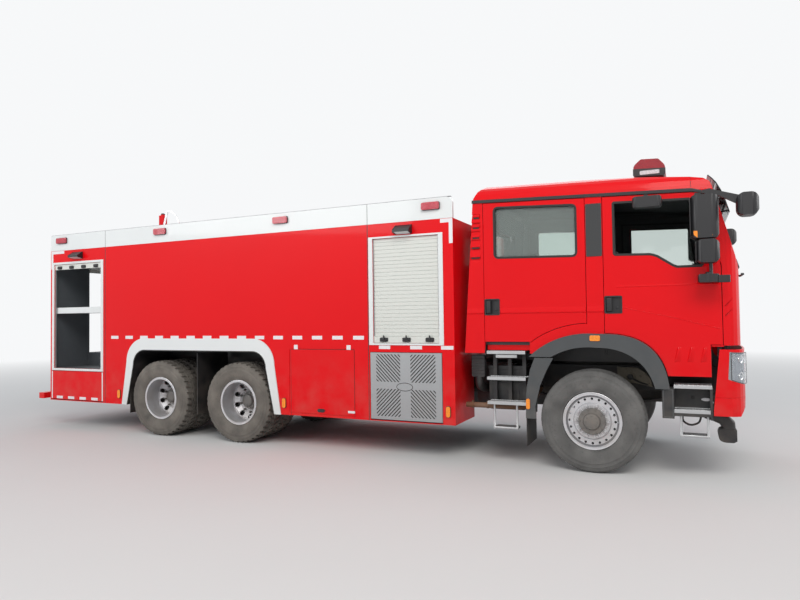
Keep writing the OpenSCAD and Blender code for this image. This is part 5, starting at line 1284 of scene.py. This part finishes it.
def pipes():
    """Air duct and elbow behind the crew door, with the rusty pipe below it."""
    form = Form().pad(1, (-1.342, -1.186), (0.955, 1.205), (0.955, 1.035), 0.02)
    elbow = [(0.995, 0.965), (0.995, 0.860), (0.800, 0.800), (0.36, 0.800)]
    form.tube(route([(-1.264, y, z) for y, z in elbow], 0.07), 0.046, 20)
    for z in (1.00, 1.04, 1.08, 1.12, 1.16):
        form.box((-1.336, -1.192), (1.034, 1.040), (z - 0.010, z + 0.008))
    form.both().done("air_ducts", "black", edge=0.003)
    pipe = [(-1.42, 1.00, PIPE_Z), (-0.69, 1.00, PIPE_Z), (-0.69, 0.39, 0.78)]
    form = Form().tube(route(pipe, 0.08), 0.031, 20)
    for x in (-1.36, -1.18, -0.72):
        form.hoop((x, 1.00, PIPE_Z), (1, 0, 0),
                  [(0.030, 0), (0.036, 0.003), (0.036, 0.027), (0.030, 0.030)], 24)
        form.box((x + 0.006, x + 0.024), (0.992, 1.008), (0.664, 0.682))
    form.both().done("step_pipes", "rust")


def front_step_boxes():
    """Cover on the box's cheek, oval plate and ringed hole in its back, the hole a dark disc of painted
    shade, and the hose below the step.
    """
    form = Form().border(1, (0.688, 0.784), (0.618, 0.898), cab_skin(-0.001, 0.004), 0.018, 0.010)
    form.both().done("step_cheek_covers", "grey", edge=0.0015)
    form = Form().prism(1, oval(1.080, 0.789, 0.044, 0.016, 32), 0.968, 0.9735)
    form.both().done("step_box_ovals", "mark", edge=0.001)
    hole, out = (0.959, 0.9695, 0.804), (0, 1, 0)
    form = Form().hoop(hole, out, [(0.018, 0), (0.018, 0.003), (0.015, 0.004), (0.015, 0)], 24)
    # Painted shade: a dark disc for the inside of the hole
    form.turned(hole, out, [(0.015, 0), (0.015, 0.001)], 24)
    hose = [(0.862, 0.64), (0.862, 0.575), (0.930, 0.535), (1.015, 0.565), (1.030, 0.64)]
    form.tube(route([(x, 1.05, z) for x, z in hose], 0.05), 0.010, 10)
    form.both().done("step_box_hole_shade_and_hoses", "rubber")


def bumper_nozzles():
    """Nozzle hung under each corner of the bumper: a fat elbow with a square mouth, its opening a dark plate
    of painted shade.
    """
    squarish = [(math.copysign(abs(c) ** 0.55, c), math.copysign(abs(q) ** 0.55, q))
                for c, q in oval(0, 0, 1, 1, 28)]
    form, rings = Form(), []
    for x, z, r, turn in NOZZLE_ELBOW:
        up = Vector((-math.sin(turn), 0, math.cos(turn)))
        rings.append([Vector((x, 0.90, z)) + up * (a * r) + Vector((0, b * r * 1.05, 0))
                      for a, b in squarish])
    form.loft(rings)
    form.prism(1, rounded(NOZZLE_MOUTH, 0.022, 4), *NOZZLE_Y)
    form.border(0, (0.838, 0.962), (0.380, 0.500), (1.330, 1.346), 0.02, 0.010)
    form.both().done("bumper_nozzles", "black", edge=0.006)
    # Painted shade: a dark plate for the inside of the mouth
    mouth = Form().box((1.3365, 1.3395), (0.850, 0.950), (0.392, 0.488))
    mouth.both().done("nozzle_mouth_shades", "rubber", edge=0.001)


def crew_step_plates():
    form = Form().box((-1.026, -0.788), (1.124, 1.130), (1.186, 1.220))
    for x in (-1.000, -0.814):
        form.turned((x, 1.130, 1.203), (0, 1, 0), [(0.007, 0), (0.007, 0.003), (0.005, 0.005)], 12)
    form.both().done("crew_step_plates", "alu", edge=0.001)


def battery_boxes():
    """A lidded box inboard of each crew step, strapped to its hangers; the left one is deeper."""
    form = Form().pad(1, (-1.165, -0.745), (0.585, 1.060), (0.668, 0.935), 0.025)
    form.pad(1, (-1.175, -0.735), (1.040, 1.085), (0.664, 0.940), 0.018)
    for x in (-1.08, -0.83):
        form.box(about(x, 0.020), (0.932, 0.939), (0.590, 1.050))
        form.box(about(x, 0.025), (0.380, 0.680), (0.900, 0.930))
    form.both().pad(1, (-1.150, -0.760), (0.430, 0.590), (0.680, 0.925), 0.025)
    form.done("battery_boxes", "black", edge=0.004)


def steering_gear():
    """Bracket of the steering gear behind the right front wheel, and its hose."""
    y, right = -0.584, (0, -1, 0)
    hub = (0.345, y, 0.958)
    form = Form().prism(1, BRACKET, -0.585, -0.565)
    form.box((0.290, 0.360), (-0.570, -0.390), (0.950, 1.010))
    form.hoop(hub, right, [(0.050, 0), (0.050, 0.012), (0.034, 0.016), (0.034, 0)], 28)
    for x, z in BRACKET_BOLTS:
        form.turned((x, y, z), right, [(0.011, 0), (0.011, 0.008), (0.008, 0.010)], 10)
    form.done("steering_bracket", "bracket", edge=0.002)
    form = Form().turned(hub, right, [(0.034, 0), (0.030, 0.022), (0.014, 0.026)], 24)
    hose = [(0.345, -0.600, 0.958), (0.430, -0.600, 0.905), (0.600, -0.560, 0.850), (0.760, -0.430, 0.840)]
    form.tube(route(hose, 0.05), 0.010, 10)
    form.done("steering_hose", "rubber")


def air_tanks():
    shell = [(0.05, 0), (0.11, 0.02), (0.125, 0.06), (0.125, 0.50), (0.11, 0.54), (0.05, 0.56)]
    form = Form().turned((-1.42, 0.535, 0.70), (1, 0, 0), shell, 28)
    form.both().done("air_tanks", "frame", edge=0.002)


# Materials of the faces that differ from the rest of their node

def paint_cab():
    middle = Vector((-0.1, 0, 2.1))

    def inward(x, y, z, n):
        return abs(y) < HALF_CAB - 0.034 and n.dot((middle - Vector((x, y, z))).normalized()) > 0.15
    for name in each_name("cab_walls cab_roof cab_front door_front_* door_rear_*"):
        repaint(name, "lining", inward)


def paint_wheels():
    for name, x in (("rim_front_*", 0.0), ("rims_middle_*", MIDDLE_X), ("rims_rear_*", REAR_X)):
        for node in each_name(name):
            repaint(node, "hub", lambda px, y, z, n, x=x: math.hypot(px - x, z - WHEEL_Z) < 0.137)


def paint_lockers():
    for name in ("front_locker", "rear_locker"):
        low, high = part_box(name)
        a, b = low.x - AXLE + 0.02, high.x - AXLE - 0.02
        repaint(name, "locker_grey", lambda x, y, z, n, a=a, b=b:
                abs(y) < HALF_BODY - 0.034 and a < x < b and z < DECK_Z - 0.02)
        repaint(name, "deck", lambda x, y, z, n: z > DECK_Z - 0.0005)


def paint_details():
    rules = (
        ("tank_body", "black", lambda x, y, z, n: abs(y) < HALF_BODY - 0.0005 and z < 1.24
         and REAR_X - 0.7 < x < MIDDLE_X + 0.7),
        ("tank_body", "deck", lambda x, y, z, n: z > DECK_Z - 0.0005),
        ("side_steps", "step_black", lambda x, y, z, n: x > -2 and z > 0.62
         and not (n.z > 0.9 and 0.9 < abs(y) < HALF_CAB - 0.002)),
        ("cab_front", "black", lambda x, y, z, n: 1.3 < x < NOSE - 0.0305 and abs(y) < 0.79
         and 1.39 < z < 2.0),
        ("mudguards", "grey", lambda x, y, z, n: x > -1 and z > 0.54),
        ("cab_floor", "red", lambda x, y, z, n: abs(y) > 1.0855 and z > 1.32),
        ("cab_fenders", "amber", lambda x, y, z, n: abs(y) > HALF_CAB + 0.0262),
        ("mudguards", "amber", lambda x, y, z, n: abs(y) > HALF_CAB + 0.0205 and -0.70 < x < -0.62
         and z < 0.76),
        ("monitor_swivel", "chrome", lambda x, y, z, n: -0.1145 < y < -0.1015 and z > 3.12),
        ("lamps", "headlamp", lambda x, y, z, n: x > 1),
        ("lamps", "strobe", lambda x, y, z, n: z > DECK_Z + 0.1),
        ("lamps", "black", lambda x, y, z, n: DECK_Z - 0.2 < z < DECK_Z and x < -1),
        ("lamps", "amber", lambda x, y, z, n: z < 0.7 and x < -1 and abs(y) > 1.2),
        ("lamps", "red_lens", lambda x, y, z, n: x < BODY_REAR + 0.001 and abs(y) < 0.93),
        ("lamps", "amber", lambda x, y, z, n: x < BODY_REAR + 0.001 and 0.93 < abs(y) < 1.1),
    )
    for name, look, test in rules:
        repaint(name, look, test)


# Stage, light and camera

BACKDROP = (0.93, 0.94, 0.95)
FLOOR_HALF = 90.0


def placed(name, data):
    obj = bpy.data.objects.new(name, data)
    bpy.context.scene.collection.objects.link(obj)
    return obj


def camera():
    """The photograph's view, fitted to the wheels and the body's edges."""
    yaw, pitch, roll = math.radians(24.747), math.radians(1.668), math.radians(-0.760)
    focal_px, photo_w, sensor = 616.4, 800.0, 36.0
    place = Vector((0.904 + AXLE, -7.859, 1.644))
    ahead = Vector((-math.sin(yaw) * math.cos(pitch), math.cos(yaw) * math.cos(pitch), math.sin(pitch)))
    right = Vector((math.cos(yaw), math.sin(yaw), 0))
    up = right.cross(ahead)
    data = bpy.data.cameras.new("photo_camera")
    data.sensor_width = sensor
    data.lens = focal_px / photo_w * sensor
    data.clip_start, data.clip_end = 0.05, 200.0
    cam = placed("photo_camera", data)
    turn = Matrix((right * math.cos(roll) + up * math.sin(roll), up * math.cos(roll) - right * math.sin(roll),
                   -ahead)).transposed()
    cam.matrix_world = Matrix.Translation(place) @ turn.to_4x4()
    bpy.context.scene.camera = cam


def floor():
    """A plain floor that turns into the background far from the truck."""
    data = bpy.data.meshes.new("floor")
    span = (-FLOOR_HALF, FLOOR_HALF)
    data.from_pydata([(x, y, 0) for x, y in corners(span, span)], [], [(0, 1, 2, 3)])
    obj = placed("floor", data)
    look = Look("floor", (0.70, 0.70, 0.695), 0.85, Specular_IOR_Level=0.1)
    look.tint(look.ramp(look.noise(0.6, 4.0), 0.3, 0.7, 0.0, 0.15), (0.64, 0.64, 0.635))
    reach = look.tree.nodes.new("ShaderNodeVectorMath")
    reach.operation = "LENGTH"
    look.link(look.place, reach.inputs[0])
    far = look.node("ShaderNodeEmission", Color=(*BACKDROP, 1), Strength=1.0)
    mix = look.tree.nodes.new("ShaderNodeMixShader")
    fade = look.ramp(reach.outputs["Value"], 7.0, 24.0)
    for i, out in enumerate((fade, look.shader.outputs[0], far.outputs[0])):
        look.link(out, mix.inputs[i])
    look.link(mix.outputs[0], look.tree.nodes["Material Output"].inputs["Surface"])
    obj.data.materials.append(look.mat)


def world():
    """Soft light from all sides, with the plain backdrop for the camera, reflections and glass."""
    made = bpy.data.worlds.new("studio")
    bpy.context.scene.world = made
    made.use_nodes = True
    tree = made.node_tree
    tree.nodes.clear()

    def background(colour, strength):
        node = tree.nodes.new("ShaderNodeBackground")
        node.inputs["Color"].default_value = (*colour, 1)
        node.inputs["Strength"].default_value = strength
        return node.outputs[0]
    path = tree.nodes.new("ShaderNodeLightPath")
    direct = path.outputs["Is Camera Ray"]
    for ray in ("Is Glossy Ray", "Is Transmission Ray"):
        either = tree.nodes.new("ShaderNodeMath")
        either.operation = "MAXIMUM"
        tree.links.new(direct, either.inputs[0])
        tree.links.new(path.outputs[ray], either.inputs[1])
        direct = either.outputs[0]
    mix = tree.nodes.new("ShaderNodeMixShader")
    for i, out in enumerate((direct, background((0.90, 0.94, 1.0), 0.42), background(BACKDROP, 1.0))):
        tree.links.new(out, mix.inputs[i])
    tree.links.new(mix.outputs[0], tree.nodes.new("ShaderNodeOutputWorld").inputs[0])


def lamp(name, place, aim, size, power, colour=(1, 1, 1)):
    data = bpy.data.lights.new(name, "AREA")
    data.shape = "RECTANGLE"
    data.size, data.size_y = size
    data.energy = power
    data.color = colour
    obj = placed(name, data)
    obj.location = place
    obj.rotation_mode = "QUATERNION"
    obj.rotation_quaternion = (Vector(aim) - Vector(place)).to_track_quat("-Z", "Y")


def lights():
    lamp("key", (7, -11, 11), (0, 0, 1.2), (9, 6), 1150, (1.0, 0.97, 0.93))
    lamp("side", (-8, -12, 7), (-2, 0, 1.4), (9, 5), 620)
    lamp("back", (-2, 11, 9), (0, 0, 1.5), (12, 5), 420, (0.93, 0.96, 1.0))
    lamp("front", (13, 2, 5), (2, 0, 1.5), (5, 4), 260)


bpy.context.scene.view_settings.view_transform = "Standard"
for build in (camera, floor, world, lights, wheels,
              doors, cab_covers, wipers, grab_handles, roof_joint, creases, pillar_vents, door_ribs,
              cab_sides, light_bar, mirror_parts, seats,
              marks, body_joints, work_lamps, side_lamps, step_panels, access_door, arch_lips, shutter_parts,
              pump_panel, deck, monitor_parts, rear_lamps, headlamps,
              step_treads, pipes, front_step_boxes, bumper_nozzles, crew_step_plates, battery_boxes,
              steering_gear, air_tanks, paint_cab, paint_wheels, paint_lockers, paint_details):
    build()

edge_width = {name: width for width, names in EDGE_WIDTHS.items() for name in each_name(names)}
for name, obj in nodes.items():
    soften(obj, edge_width.get(name, 0.0))
